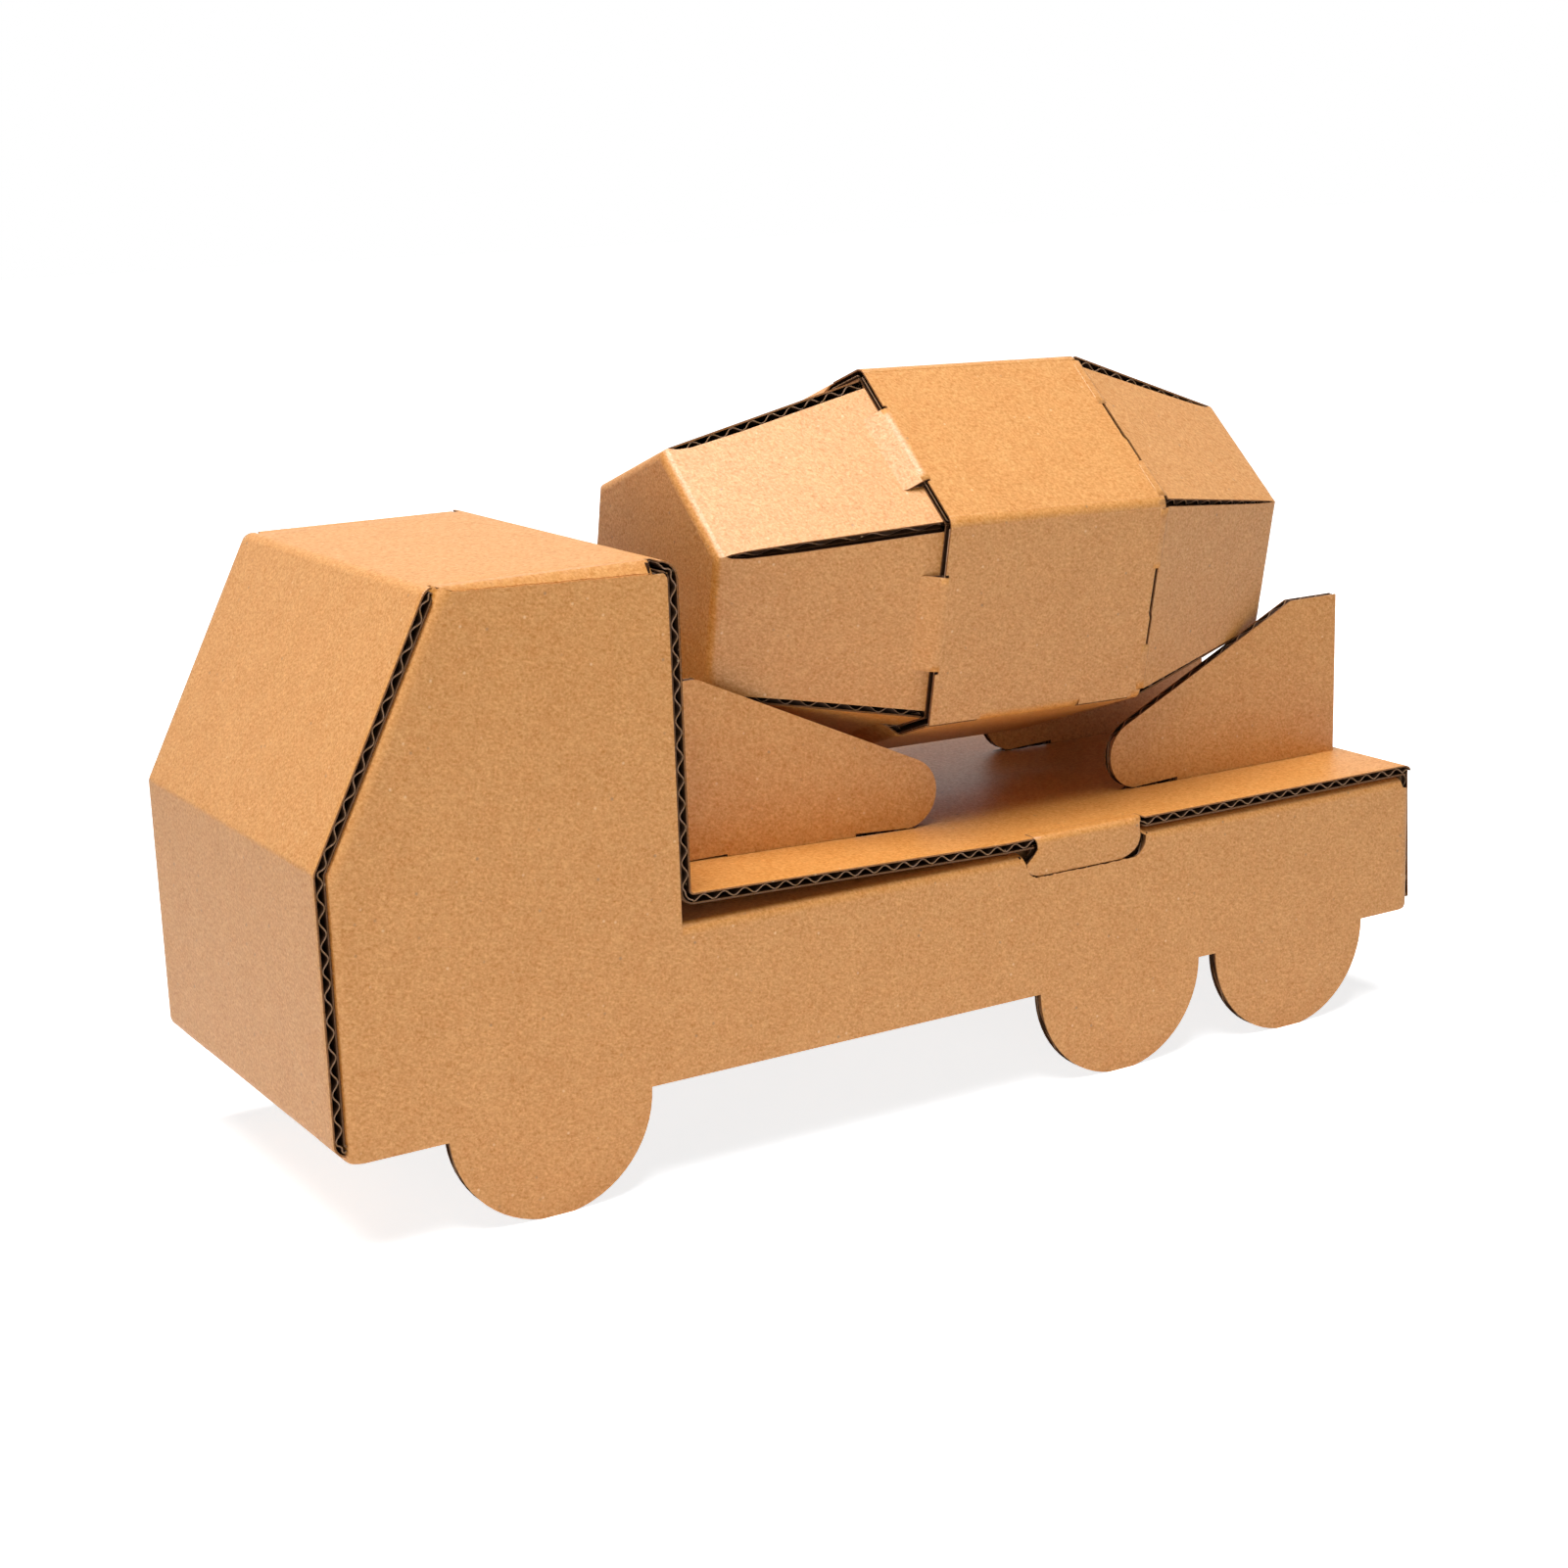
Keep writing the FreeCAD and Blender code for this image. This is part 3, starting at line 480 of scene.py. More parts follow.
def fibreGroup():
    tree = bpy.data.node_groups.new("paperFibre", "ShaderNodeTree")
    face = tree.interface
    for label, kind, value in (("Place", "NodeSocketVector", None),
                               ("Colour", "NodeSocketColor", paper["outer"]),
                               ("Grain Scale", "NodeSocketFloat", paper["grain"]),
                               ("Contrast", "NodeSocketFloat", 1.0),
                               ("Fleck Scale", "NodeSocketFloat", paper["fleck"])):
        socket = face.new_socket(label, in_out="INPUT", socket_type=kind)
        if value is not None:
            socket.default_value = value
    for label, kind in (("Colour", "NodeSocketColor"), ("Height", "NodeSocketFloat"),
                        ("Roughness", "NodeSocketFloat")):
        face.new_socket(label, in_out="OUTPUT", socket_type=kind)
    net = Net(tree)
    start, end = net.add("NodeGroupInput"), net.add("NodeGroupOutput")
    place = start.outputs["Place"]
    grain = start.outputs["Grain Scale"]
    fine = net.add("ShaderNodeTexNoise", {"Vector": place, "Scale": grain, "Detail": 2.0,
                                          "Roughness": 0.65}).outputs["Fac"]
    # short fibres: the same noise stretched along two slanting directions
    strands = []
    for turn in paper["strandTurns"]:
        lay = net.add("ShaderNodeMapping", {"Vector": place, "Rotation": turn,
                                            "Scale": (1.0, paper["strandStretch"], 1.0)}, vector_type="TEXTURE")
        strands.append(net.add("ShaderNodeTexNoise", {"Vector": lay.outputs["Vector"], "Scale": grain,
                                                      "Detail": 1.0}).outputs["Fac"])
    weave = net.sum("ADD", net.sum("MULTIPLY", net.sum("MAXIMUM", *strands), paper["strandShare"]),
                    net.sum("MULTIPLY", fine, paper["fineShare"]))
    cloud = net.add("ShaderNodeTexNoise", {"Vector": place, "Scale": paper["mottle"],
                                           "Detail": 3.0}).outputs["Fac"]
    warm = net.add("ShaderNodeTexNoise", {"Vector": place, "Scale": paper["mottle"] * 3.1,
                                          "Detail": 1.0}).outputs["Fac"]
    light = net.band(weave, 0.36, 0.70, (-0.5, 0.5))
    light = net.sum("ADD", light, net.band(cloud, 0.3, 0.7, (-0.06, 0.06)))
    light = net.sum("ADD", net.sum("MULTIPLY", light, start.outputs["Contrast"]), 0.5, True)
    tone = net.mix(light, paper["darkTone"], paper["paleTone"])
    colour = net.mix(1.0, start.outputs["Colour"], tone, "MULTIPLY")
    tint = net.mix(net.band(warm, 0.35, 0.65), (1.01, 0.99, 0.97, 1), (0.99, 1.0, 1.01, 1))
    colour = net.mix(1.0, colour, tint, "MULTIPLY")
    for width, scale, shade, share in paper["flecks"]:
        size = net.sum("MULTIPLY", start.outputs["Fleck Scale"], scale)
        spots = net.add("ShaderNodeTexVoronoi", {"Vector": place, "Scale": size, "Randomness": 1.0})
        each = net.add("ShaderNodeSeparateColor", {0: spots.outputs["Color"]}).outputs[0]
        some = net.band(each, 0.55, 0.75)
        dot = net.sum("MULTIPLY", net.band(spots.outputs["Distance"], 0.0, width, (1.0, 0.0)), some)
        colour = net.mix(net.sum("MULTIPLY", dot, share), colour, shade)
    net.link(colour, end.inputs["Colour"])
    net.link(weave, end.inputs["Height"])
    rough = net.band(weave, 0.3, 0.7, (paper["roughness"] + 0.08, paper["roughness"] - 0.06))
    net.link(rough, end.inputs["Roughness"])
    return tree


def paperMaterial(name, fibre, colour, contrast, bump, shift=(0, 0, 0), specular=paper["specular"]):
    mat = bpy.data.materials.new(name)
    mat.use_nodes = True
    net = Net(mat.node_tree)
    principled = mat.node_tree.nodes["Principled BSDF"]
    where = net.add("ShaderNodeTexCoord").outputs["Object"]
    if any(shift):
        where = net.add("ShaderNodeMapping", {"Vector": where, "Location": shift}).outputs["Vector"]
    group = net.add("ShaderNodeGroup", node_tree=fibre)
    net.link(where, group.inputs["Place"])
    group.inputs["Colour"].default_value = colour
    group.inputs["Contrast"].default_value = contrast
    raised = net.add("ShaderNodeBump", {"Height": group.outputs["Height"], "Strength": bump,
                                        "Distance": 0.0002})
    principled.inputs["Specular IOR Level"].default_value = specular
    net.link(group.outputs["Colour"], principled.inputs["Base Color"])
    net.link(group.outputs["Roughness"], principled.inputs["Roughness"])
    net.link(raised.outputs["Normal"], principled.inputs["Normal"])
    return mat


def makeFinishes():
    fibre = fibreGroup()
    # the hollow material is painted shade: it blackens the flutes and the liners' backs inside the board
    cut, cutInner, hollow, flute = (
        paperMaterial(name, fibre, paper[colour], 0.7, 0.2, specular=0.1)
        for name, colour in (("cutLiner", "cut"), ("cutInnerLiner", "cutInner"), ("fluteHollowShade", "hollow"),
                             ("flutePaper", "fluteCut")))
    mats = {"hollow": hollow, "flutePaper": flute}
    for key, shift in (("body", (0, 0, 0)), ("cradle", (0.31, 0.12, 0.0)), ("drum", (0.0, 0.47, 0.2))):
        outer = paperMaterial(key + "Liner", fibre, paper["outer"], 1.0, 0.35, shift)
        inner = paperMaterial(key + "InnerLiner", fibre, paper["inner"], 0.8, 0.35, shift)
        mats[key] = [outer, inner, cut, cutInner, hollow, hollow]
    print("finishes ready")
    return mats


body = {
    "width": 68.97,
    "path": ((-88, 16.1), (-100, 16.1), (-100, 56.6), (-81.3, 93), (-43, 93), (-43, 44.0), (13, 42.0),
             (99.1, 41.7), (100, 17.7)),
    "radii": (0, 2.0, 2.0, 2.0, 3.0, 0.5, 6.0, 2.0, 0),
    "roof": (-79.2, -47.0),      # between these the roof turns down into the side panels
    "roofDrop": (0.7, 1.9),      # the fold widens towards the back
    "roofIn": (0.7, 1.5),
    "roofFrom": 91.0,            # what is higher belongs to the roof
    "cornerRound": 1.3,          # the strip narrows by this at the windshield's top corners
    "cornerRange": (-82.0, -78.0, 2.6),      # x from and to, and the run in which it narrows
    "frontUpTo": -80.0,
    "edgeRecess": 0.35,          # the front's raw edges lie a little inside the side panels' faces
    "returnTop": 19.7,           # the strip's first stretch lies under this, between the side panels
    "roofJag": 0.16,             # how far the torn crease wanders
    "roofCut": -45.9,            # behind here the roof's own edge shows again
    "core": 31.9,                # across from here outwards the strip's edges differ
    "frontEdge": -98.3,
    "brow": (-98.3, 56.19),
    "windshieldTop": (-79.39, 93.0),
    "cabEdge": -44.7,
    "sideTop": 39.6,
    "rearTop": 98.75,
    "rearBottom": 98.9,
    "rearFold": 1.05,
    "rearWall": (98.5, 40.6),    # behind this x and under this height the strip is the rear wall
    "rearWallHalf": 33.4,
    "chassisBottom": 16.0,
    "frontDip": 1.2,             # ahead of the front wheel the side panel reaches this much lower
    "wheels": (-67.0, 35.8, 71.8),
    "wheelRadius": 16.2,
    "wheelSteps": 14,
    # notch in a side panel's top edge, from its rear tooth to its front one: x, height, corner radius
    "notch": ((39.9, 39.6, 0), (40.9, 38.7, 0.4), (40.9, 35.4, 3.0), (16.9, 35.4, 2.9), (16.9, 37.9, 0),
              (16.2, 39.6, 0)),
    "notchJag": 0.2,
    "relief": (18.5, 40.6),      # the deck's raw edge stops here on both sides of the tab
    # the tab's two sides: height, x
    "tabFront": ((41.95, 18.9), (41.0, 19.3), (39.9, 19.4), (38.9, 18.5), (37.8, 17.2), (36.9, 17.25),
                 (36.2, 17.8), (35.8, 18.5), (35.6, 19.5)),
    "tabRear": ((41.95, 40.3), (41.0, 39.7), (40.2, 39.7), (39.4, 39.85), (38.4, 39.75), (37.4, 39.3),
                (36.6, 38.5), (36.0, 37.3), (35.6, 36.0)),
    "tongue": (15.0, 42.2, 31.0, 40.2),      # the layer behind the notch: x from and to, height from and to
    "tabFold": 1.3,
    "tabRecess": 0.12,
    "foldIn": 1.7,
    "rearRelief": 2.2,           # the folds leave the rear top corner open
    "flap": 11.0,                # how far a folded edge reaches inwards
    "gridStep": 3.0,             # the strip's rows across, and how far out they go
    "gridEnd": 28.0,
    "deckHeights": (41.0, 44.0),
    "slotsBelow": 46.0,
    "slots": ((-27.8, 7.1), (50.3, 90.7)),
    "slotSide": (16.75, 18.75),
}


def deckBreaks():
    return [x for slot in body["slots"] for x in slot] + list(body["relief"])


def pathSamples(step, breaks):
    corners = [(x, z, r) for (x, z), r in zip(body["path"], body["radii"])]
    out = []
    dist = 0.0
    mid = board["thickness"] / 2
    previousEnd = Vector(corners[0][:2])
    for i in range(1, len(corners)):
        p = Vector(corners[i][:2])
        before = Vector(corners[i - 1][:2])
        along = (p - before).normalized()
        reach, arc = 0.0, []
        if i < len(corners) - 1:
            after = Vector(corners[i + 1][:2])
            onward = (after - p).normalized()
            turn = math.atan2(along.x * onward.y - along.y * onward.x, along.dot(onward))
            r = corners[i][2]
            reach = r * math.tan(abs(turn) / 2)
            arc = (r, turn, p - along * reach)
        stop = p - along * reach
        normal = Vector((-along.y, along.x))
        places = spread(0, (stop - previousEnd).length, step)
        fixed = []
        for b in breaks:
            if abs(along.x) > 0.5 and i > 4:
                t = (b - previousEnd.x) / along.x
                if 0 < t < (stop - previousEnd).length:
                    fixed.append(t)
        places = sorted([t for t in places if all(abs(t - f) > step * 0.3 for f in fixed)] + fixed)
        for t in places:
            out.append((previousEnd + along * t, normal, dist + t, 1.0))
        dist += (stop - previousEnd).length
        if arc:
            r, turn, first = arc
            side = -1.0 if turn < 0 else 1.0
            centre = first + normal * r * side
            count = max(3, int(abs(turn) / 0.16), int(abs(turn) * (r + mid) / step))
            for k in range(1, count):
                a = turn * k / count
                n = turned(normal, a)
                out.append((centre - n * r * side, n, dist + (r - mid * side) * abs(a), board["foldRoom"]))
            dist += (r - mid * side) * abs(turn)
            previousEnd = centre - turned(normal, turn) * r * side
    return out


def to3(p, y):
    return Vector((p.x, y, p.y))


def roofRange(p):
    return p.y > body["roofFrom"] and body["roof"][0] < p.x < body["roofCut"]


def tabRange(p):
    low, high = body["deckHeights"]
    return low < p.y < high and body["relief"][0] < p.x < body["relief"][1]


def returnRange(p):
    return p.y < body["returnTop"] and body["frontEdge"] + 0.1 < p.x < 0


def inSlot(a, b, y):
    if not body["slotSide"][0] < abs(y) < body["slotSide"][1]:
        return False
    x = (a.x + b.x) / 2
    return a.y < body["slotsBelow"] and any(s0 < x < s1 for s0, s1 in body["slots"])


def stripHalf(p):
    if p.x > body["rearWall"][0] and p.y < body["rearWall"][1]:
        return body["rearWallHalf"]
    half = body["width"] / 2 - body["edgeRecess"]
    start, stop, run = body["cornerRange"]
    if p.y > body["roofFrom"] and start < p.x < stop:
        return half - body["cornerRound"] * min(1.0, (p.x - start) / run) ** 2
    if p.x < body["frontUpTo"]:
        return half
    return body["width"] / 2


def stripBag():
    bag = newBag()
    samples = pathSamples(2.5, deckBreaks())
    core = body["core"]
    inner, outer = body["slotSide"]
    wide, step = body["gridEnd"], body["gridStep"]
    ys = [-core] + spread(-wide, -outer - 2, step) + [-outer, -inner] + spread(-inner + 2, inner - 2, step) \
        + [inner, outer] + spread(outer + 2, wide, step) + [core]
    for depth, side in ((0.0, 1.0), (board["thickness"], -1.0)):
        def at(sample, y):
            p, n = sample[0], sample[1]
            return to3(p - n * depth, y)

        for i in range(len(samples) - 1):
            a, b = samples[i], samples[i + 1]
            n = (a[1] + b[1]) * side
            outward = Vector((n.x, 0, n.y))
            rows = [[at(a, y) for y in ys], [at(b, y) for y in ys]]
            addGrid(bag, rows, outward, skip=lambda r, j: inSlot(a[0], b[0], (ys[j] + ys[j + 1]) / 2),
                    inner=int(side < 0))
            middle = (a[0] + b[0]) / 2
            if roofRange(middle) or tabRange(middle) or returnRange(middle):
                continue
            wide = stripHalf(middle)
            for s in (-1, 1):
                edge = [s * core, s * (core + 1.0), s * wide]
                addGrid(bag, [[at(a, y) for y in edge], [at(b, y) for y in edge]], outward, inner=int(side < 0))
    return bag


def stripFluteBag():
    bag = newBag()
    samples = pathSamples(board["pitch"] / board["flutePoints"], deckBreaks())
    half = body["width"] / 2 - 0.05
    inner, outer = body["slotSide"]
    ys = [-half, -body["core"], -outer, -inner, 0, inner, outer, body["core"], half]
    start = len(bag["points"])
    for p, n, s, room in samples:
        wide = stripHalf(p) - 0.05
        for y in ys:
            y = max(-wide, min(wide, y))
            bag["points"].append(to3(p - n * (board["thickness"] / 2), y))
            bag["across"].append(s)
            bag["outward"].append(Vector((n.x, 0, n.y)))
            bag["room"].append(room)
    w = len(ys)
    for i in range(len(samples) - 1):
        middle = (samples[i][0] + samples[i + 1][0]) / 2
        for j in range(w - 1):
            y = (ys[j] + ys[j + 1]) / 2
            if inSlot(samples[i][0], samples[i + 1][0], y):
                continue
            if (roofRange(middle) or tabRange(middle) or returnRange(middle)) and j in (0, w - 2):
                continue
            k = start + i * w + j
            bag["faces"].append([k, k + 1, k + w + 1, k + w])
    return bag


def wheelArc(x):
    r, low = body["wheelRadius"], body["chassisBottom"]
    reach = math.sqrt(r * r - low * low)
    a0 = math.pi
    a1 = math.pi * 1.5 - math.asin(reach / r)
    a2 = math.pi * 1.5 + math.asin(reach / r)
    steps = body["wheelSteps"]
    first = [a0 + (a1 - a0) * k / steps for k in range(steps + 1)]
    second = [a2 + (2 * math.pi - a2) * k / steps for k in range(steps + 1)]
    return [Vector((x + r * math.cos(a), low + r * math.sin(a))) for a in first + second]


def jag(x, size):
    # a slow and a quick wander of a torn edge
    return size * (noise.noise(Vector((x * 1.9, 3.7, 0.4))) + 0.6 * noise.noise(Vector((x * 5.3, 1.2, 8.1))))


def sideLoop():
    # outline of a side panel, counterclockwise with x to the right, and what each edge is
    low, top = body["chassisBottom"], body["sideTop"]
    front, rear, chamfer = body["frontEdge"], body["rearBottom"], body["rearRelief"]
    loop, kinds = [], []

    def add(points, kind):
        for p in points:
            loop.append(Vector(p[:2]))
            kinds.append(kind)

    toe = low - body["frontDip"]
    add([(front + 1.0, toe), (body["wheels"][0] - body["wheelRadius"] + 0.04, toe)], "raw")
    for i, x in enumerate(body["wheels"]):
        add(wheelArc(x)[1 if i == 0 else 0:], "raw")
    add([(rear - 0.8, low), (rear - 0.3, low + 0.15)], "rear")
    rearEnd = Vector((body["rearTop"], top - chamfer))
    add(divided(Vector((rear, low + 0.8)), rearEnd, 9), "rear")
    add([rearEnd], "raw")
    notch = body["notch"]
    add([(x, top) for x in spread(body["rearTop"] - chamfer, notch[0][0], 2.5)[:-1]], "top")
    line = roundCorners(notch, False)
    bottom = min(p.y for p in line)
    dense = []
    for i, p in enumerate(line[:-1]):
        count = max(1, int((line[i + 1] - p).length / 0.45)) if p.y < bottom + 0.01 else 1
        dense += [p.lerp(line[i + 1], k / count) for k in range(count)]
    torn = [jag(p.x, body["notchJag"]) if p.y < bottom + 1.5 else 0.0 for p in dense]
    add([Vector((p.x, p.y + t)) for p, t in zip(dense, torn)], "raw")
    add([(x, top) for x in spread(notch[-1][0], body["cabEdge"], 2.5)[:-1]], "top")
    add([(body["cabEdge"], top)], "raw")
    roofEnd, (shieldX, roofTop) = body["roof"][1], body["windshieldTop"]
    add([(body["cabEdge"], roofTop - roofDrop(roofEnd)), (roofEnd, roofTop - roofDrop(roofEnd))], "raw")
    add([(x, roofTop) for x in spread(roofEnd, shieldX, 0.5)[:-1]], "roof")
    add(divided(Vector(body["windshieldTop"]), Vector(body["brow"]), 16), "windshield")
    add(divided(Vector(body["brow"]), Vector((front, toe + 1.0)), 16), "front")
    add([(front, toe + 1.0), (front + 0.13, toe + 0.45), (front + 0.5, toe + 0.1)], "front")
    return loop, kinds


def foldLoop(loop, kinds, amount):
    # where the flat panel ends and its folds begin
    low, top, chamfer = body["chassisBottom"], body["sideTop"], body["rearRelief"]
    out = insetLoop(loop, [0.0 if k in ("raw", "roof") else amount for k in kinds])
    for i, p in enumerate(loop):
        if p.y < low + 1.05 and p.x < body["frontEdge"] + 1.1:
            out[i] = Vector((p.x + amount, p.y))
        elif p.y < low + 1.05 and p.x > body["rearBottom"] - 1.1:
            out[i] = Vector((p.x - amount, p.y))
        elif p.y > top - chamfer - 0.01 and p.x > body["rearTop"] - chamfer - 0.01:
            out[i] = Vector((body["rearTop"] - amount, top - amount))
    return out


def alongRoof(x, ends):
    x0, x1 = body["roof"]
    t = max(0.0, min(1.0, (x - x0) / (x1 - x0)))
    return ends[0] * (1 - t) + ends[1] * t


def roofDrop(x):
    return alongRoof(x, body["roofDrop"])


def sideBags(sign, liners, flutes):
    loop, kinds = sideLoop()
    half, thick = body["width"] / 2, board["thickness"]
    out = Vector((0, sign, 0))

    def space(x, z, depth):
        return Vector((x, sign * (half - depth), z))

    fold = body["foldIn"]
    outer = foldLoop(loop, kinds, fold)
    corner = outer[kinds.index("windshield")].x
    for i, p in enumerate(loop):
        if "roof" in (kinds[i], kinds[i - 1]):
            x = max(p.x, corner)
            drop = roofDrop(x) + (jag(x, body["roofJag"]) if corner < p.x < body["roof"][1] else 0.0)
            outer[i] = Vector((x, body["windshieldTop"][1] - drop))
    addFlat(liners, [space(p.x, p.y, 0) for p in outer], out)
    inner = insetLoop(loop, [thick if k == "roof" else 0.0 for k in kinds])
    inner = [a if "roof" in (kinds[i], kinds[i - 1]) else b
             for i, (a, b) in enumerate(zip(inner, foldLoop(loop, kinds, thick)))]
    addFlat(liners, [space(p.x, p.y, thick) for p in inner], -out, inner=1)
    n = len(loop)
    for i, kind in enumerate(kinds):
        if kind == "raw":
            continue
        a, b = loop[i], loop[(i + 1) % n]
        d = Vector(((b - a).y, -(b - a).x)).normalized()
        facing = (Vector((d.x, 0, d.y)) + out).normalized()
        rows, back = [], []
        for p, q, r in ((a, outer[i], inner[i]), (b, outer[(i + 1) % n], inner[(i + 1) % n])):
            if kind == "roof":
                wide = alongRoof(p.x, body["roofIn"]) + jag(p.x + 40, body["roofJag"])
                step = (p.y - q.y) * 0.10
                rows.append([space(q.x, q.y, 0), space(q.x, q.y + 0.02, 0.14), space(q.x, q.y - 0.03, 0.24)]
                            + bezier(space(q.x, q.y + step, 0.22), space(p.x, p.y - step * 2, wide * 0.72),
                                     space(p.x, p.y, wide), 4)
                            + [space(p.x, p.y, half - body["core"])])
                end = half - body["core"]
            else:
                deep, end = (body["rearFold"], thick) if kind == "rear" else (fold, body["flap"])
                rows.append(bezier(space(q.x, q.y, 0), space(p.x, p.y, 0), space(p.x, p.y, deep), 6)
                            + ([space(p.x, p.y, end * 0.5), space(p.x, p.y, end)] if end > fold else []))
            back.append([space(r.x, r.y, thick), space(r.x, r.y, max(end, thick + 0.3))])
        addGrid(liners, rows, facing)
        addGrid(liners, back, -facing, inner=1)
    # how far inside each kind of edge the flutes stop
    reach = {"raw": 0.04, "rear": 1.9, "roof": body["roofDrop"][1] + 0.35}
    hollow = insetLoop(loop, [reach.get(k, 0.9) for k in kinds])
    fluteColumns(flutes, hollow, (0, 1), space, out)
    addWebs(liners, loop, (0, 1), space, [k == "raw" for k in kinds])


def valueAt(table, z):
    for (z0, v0), (z1, v1) in zip(table, table[1:]):
        if z >= z1:
            return v0 + (v1 - v0) * max(0.0, (z0 - z) / (z0 - z1))
    return table[-1][1]


def tabBag(liners, flutes):
    # a tab of the deck, folded down and locked flush into the notch
    top, r, half = body["tabFront"][0][0], body["tabFold"], body["width"] / 2
    bottom = body["tabFront"][-1][0]
    face = half - body["tabRecess"]
    for sign in (-1, 1):
        for depth, side in ((0.0, 1), (board["thickness"], -1)):
            curve = bezier(Vector((0, face - r, top - depth)), Vector((0, face - depth, top - depth)),
                           Vector((0, face - depth, top - r - depth * 0.2)), 7)
            curve = [Vector((0, body["core"], top - depth))] + curve if face - r > body["core"] else curve
            curve += [Vector((0, face - depth, z)) for z in spread(curve[-1].z, bottom, 0.35)[1:]]
            rows = []
            for t in (i / 12 for i in range(13)):
                sides = [(valueAt(body["tabFront"], c.z), valueAt(body["tabRear"], c.z)) for c in curve]
                rows.append([Vector((a * (1 - t) + b * t, sign * c.y, c.z)) for (a, b), c in zip(sides, curve)])
            addGrid(liners, rows, Vector((0, sign * side, side)), inner=int(side < 0))
        x0, x1, z0, z1 = body["tongue"]
        for depth, side in ((2 * board["thickness"], 1), (3 * board["thickness"], -1)):
            y = sign * (half - depth)
            back = [Vector((x, y, z)) for x, z in ((x0, z0), (x1, z0), (x1, z1), (x0, z1))]
            addFlat(liners, back, Vector((0, sign * side, 0)), inner=1)
        loop = [Vector((x, z)) for z, x in body["tabFront"][3:] + body["tabRear"][:2:-1]]
        fluteColumns(flutes, insetLoop(loop, [0.05] * len(loop)), (0, 1),
                     lambda x, z, depth: Vector((x, sign * (face - depth), z)), Vector((0, sign, 0)))


def makeBody(tree, mats):
    liners = stripBag()
    flutes = stripFluteBag()
    for sign in (-1, 1):
        sideBags(sign, liners, flutes)
    tabBag(liners, flutes)
    dress("body", "truck_body", "body", liners, flutes, tree, mats)
    print("body made")


cradle = {
    "front": {"tall": -42.1, "turn": 1, "top": 71.6, "foot": 43.97, "fall": 0.0357, "reach": 75.7,
              "neck": (14.4, 37.7), "drop": 5.0, "lift": (0.35, 0.5), "slotEnd": 49.2},
    "rear": {"tall": 95.6, "turn": -1, "top": 69.6, "foot": 41.72, "fall": -0.0035, "reach": 69.4,
             "neck": (5.0, 35.1), "drop": 5.0, "lift": (0.0, 0.55), "slotEnd": 45.3},
    "flat": 10.2,
    "noseRadius": 5.7,
    "cornerRadius": 1.6,
    "faceSide": 18.6,
}


def makeCradle(tree, mats):
    for pair in ("front", "rear"):
        c = cradle[pair]
        foot, fall, reach = c["foot"], c["fall"], c["reach"]
        left, right = c["neck"]
        low = foot - fall * left - c["drop"]
        corners = [(0, foot, 0), (left, foot - fall * left + c["lift"][0], 0), (left, low, 0), (right, low, 0),
                   (right, foot - fall * right + c["lift"][1], 0),
                   (c["slotEnd"], foot - fall * c["slotEnd"] + 0.08, 0),
                   (reach, foot - fall * reach, cradle["noseRadius"]),
                   (cradle["flat"], c["top"], cradle["cornerRadius"]), (0, c["top"], 0)]
        loop = roundCorners(corners, steps=12)
        loop = [Vector((c["tall"] + c["turn"] * p.x, p.y)) for p in loop]
        if c["turn"] < 0:
            loop.reverse()
        for label, sign in (("near", -1), ("far", 1)):
            liners, flutes = newBag(), newBag()

            def space(x, z, depth):
                return Vector((x, sign * (cradle["faceSide"] - depth), z))

            out = Vector((0, sign, 0))
            addFlat(liners, [space(p.x, p.y, 0) for p in loop], out)
            addFlat(liners, [space(p.x, p.y, board["thickness"]) for p in loop], -out)
            hollow = insetLoop(loop, [0.04] * len(loop))
            fluteColumns(flutes, hollow, (0, 1), space, out, phase=1.0)
            addWebs(liners, loop, (0, 1), space)
            node = f"cradle_{pair}_{label}"
            dress(node, node, "cradle", liners, flutes, tree, mats)
    print("cradle plates made")


drum = {
    "front": (-28.1, 1.6, 82.18),
    "pitch": 1.2,
    "roll": 10.7,
    "nose": 35.1,
    "band": 41.6,
    "rear": 32.7,
    "side": 33.3,
    "endSide": 22.2,
    "tongue": 9.0,
    "lug": (0.27, 0.73),          # shares of a band panel's width
    "lugAngle": 38.0,
    "lugLength": 4.4,
    "lugRound": 1.3,
    "lugRun": 3.25,               # nose slot ahead of the band's edge
    "lip": 0.7,                   # the lug's fold on both sides of its crease
    "slit": (0.34, 0.73),
    "slitGap": (0.16, 0.42),
    "kink": 0.62,                 # where along a slit its two straight cuts meet
    "capFold": 1.3,
    "capInset": 1.15,
    "capSteps": 14,
    "innerBack": 1.6,             # how far short of an end ridge the inner liner and the flutes stop
    "coreBack": 1.8,
    "capInnerBack": 1.9,
    "capCoreBack": 2.2,
    "rearFold": 0.9,
    "ridge": 1.25,
    "joint": 2,                   # ridge where the band's two ends are locked together
    "jointSlits": ((0.0, 0.23), (0.70, 0.955)),
    "noseTrim": {0: (0.1, 1.9), 1: (0.7, 1.2)},      # ridge: how far the panels before and after it stop short
    "rearTrim": {0: (0.1, 2.7), 1: (0.5, 1.0)},
}


def drumAxes():
    p = math.radians(drum["pitch"])
    axis = Vector((math.cos(p), 0, -math.sin(p)))
    up = Vector((math.sin(p), 0, math.cos(p)))
    return Vector(drum["front"]), axis, up, Vector((0, -1, 0))


def drumCorner(k, radius, along):
    front, axis, up, side = drumAxes()
    a = math.radians(drum["roll"] + 60 * k)
    return front + axis * along + (up * math.cos(a) + side * math.sin(a)) * radius


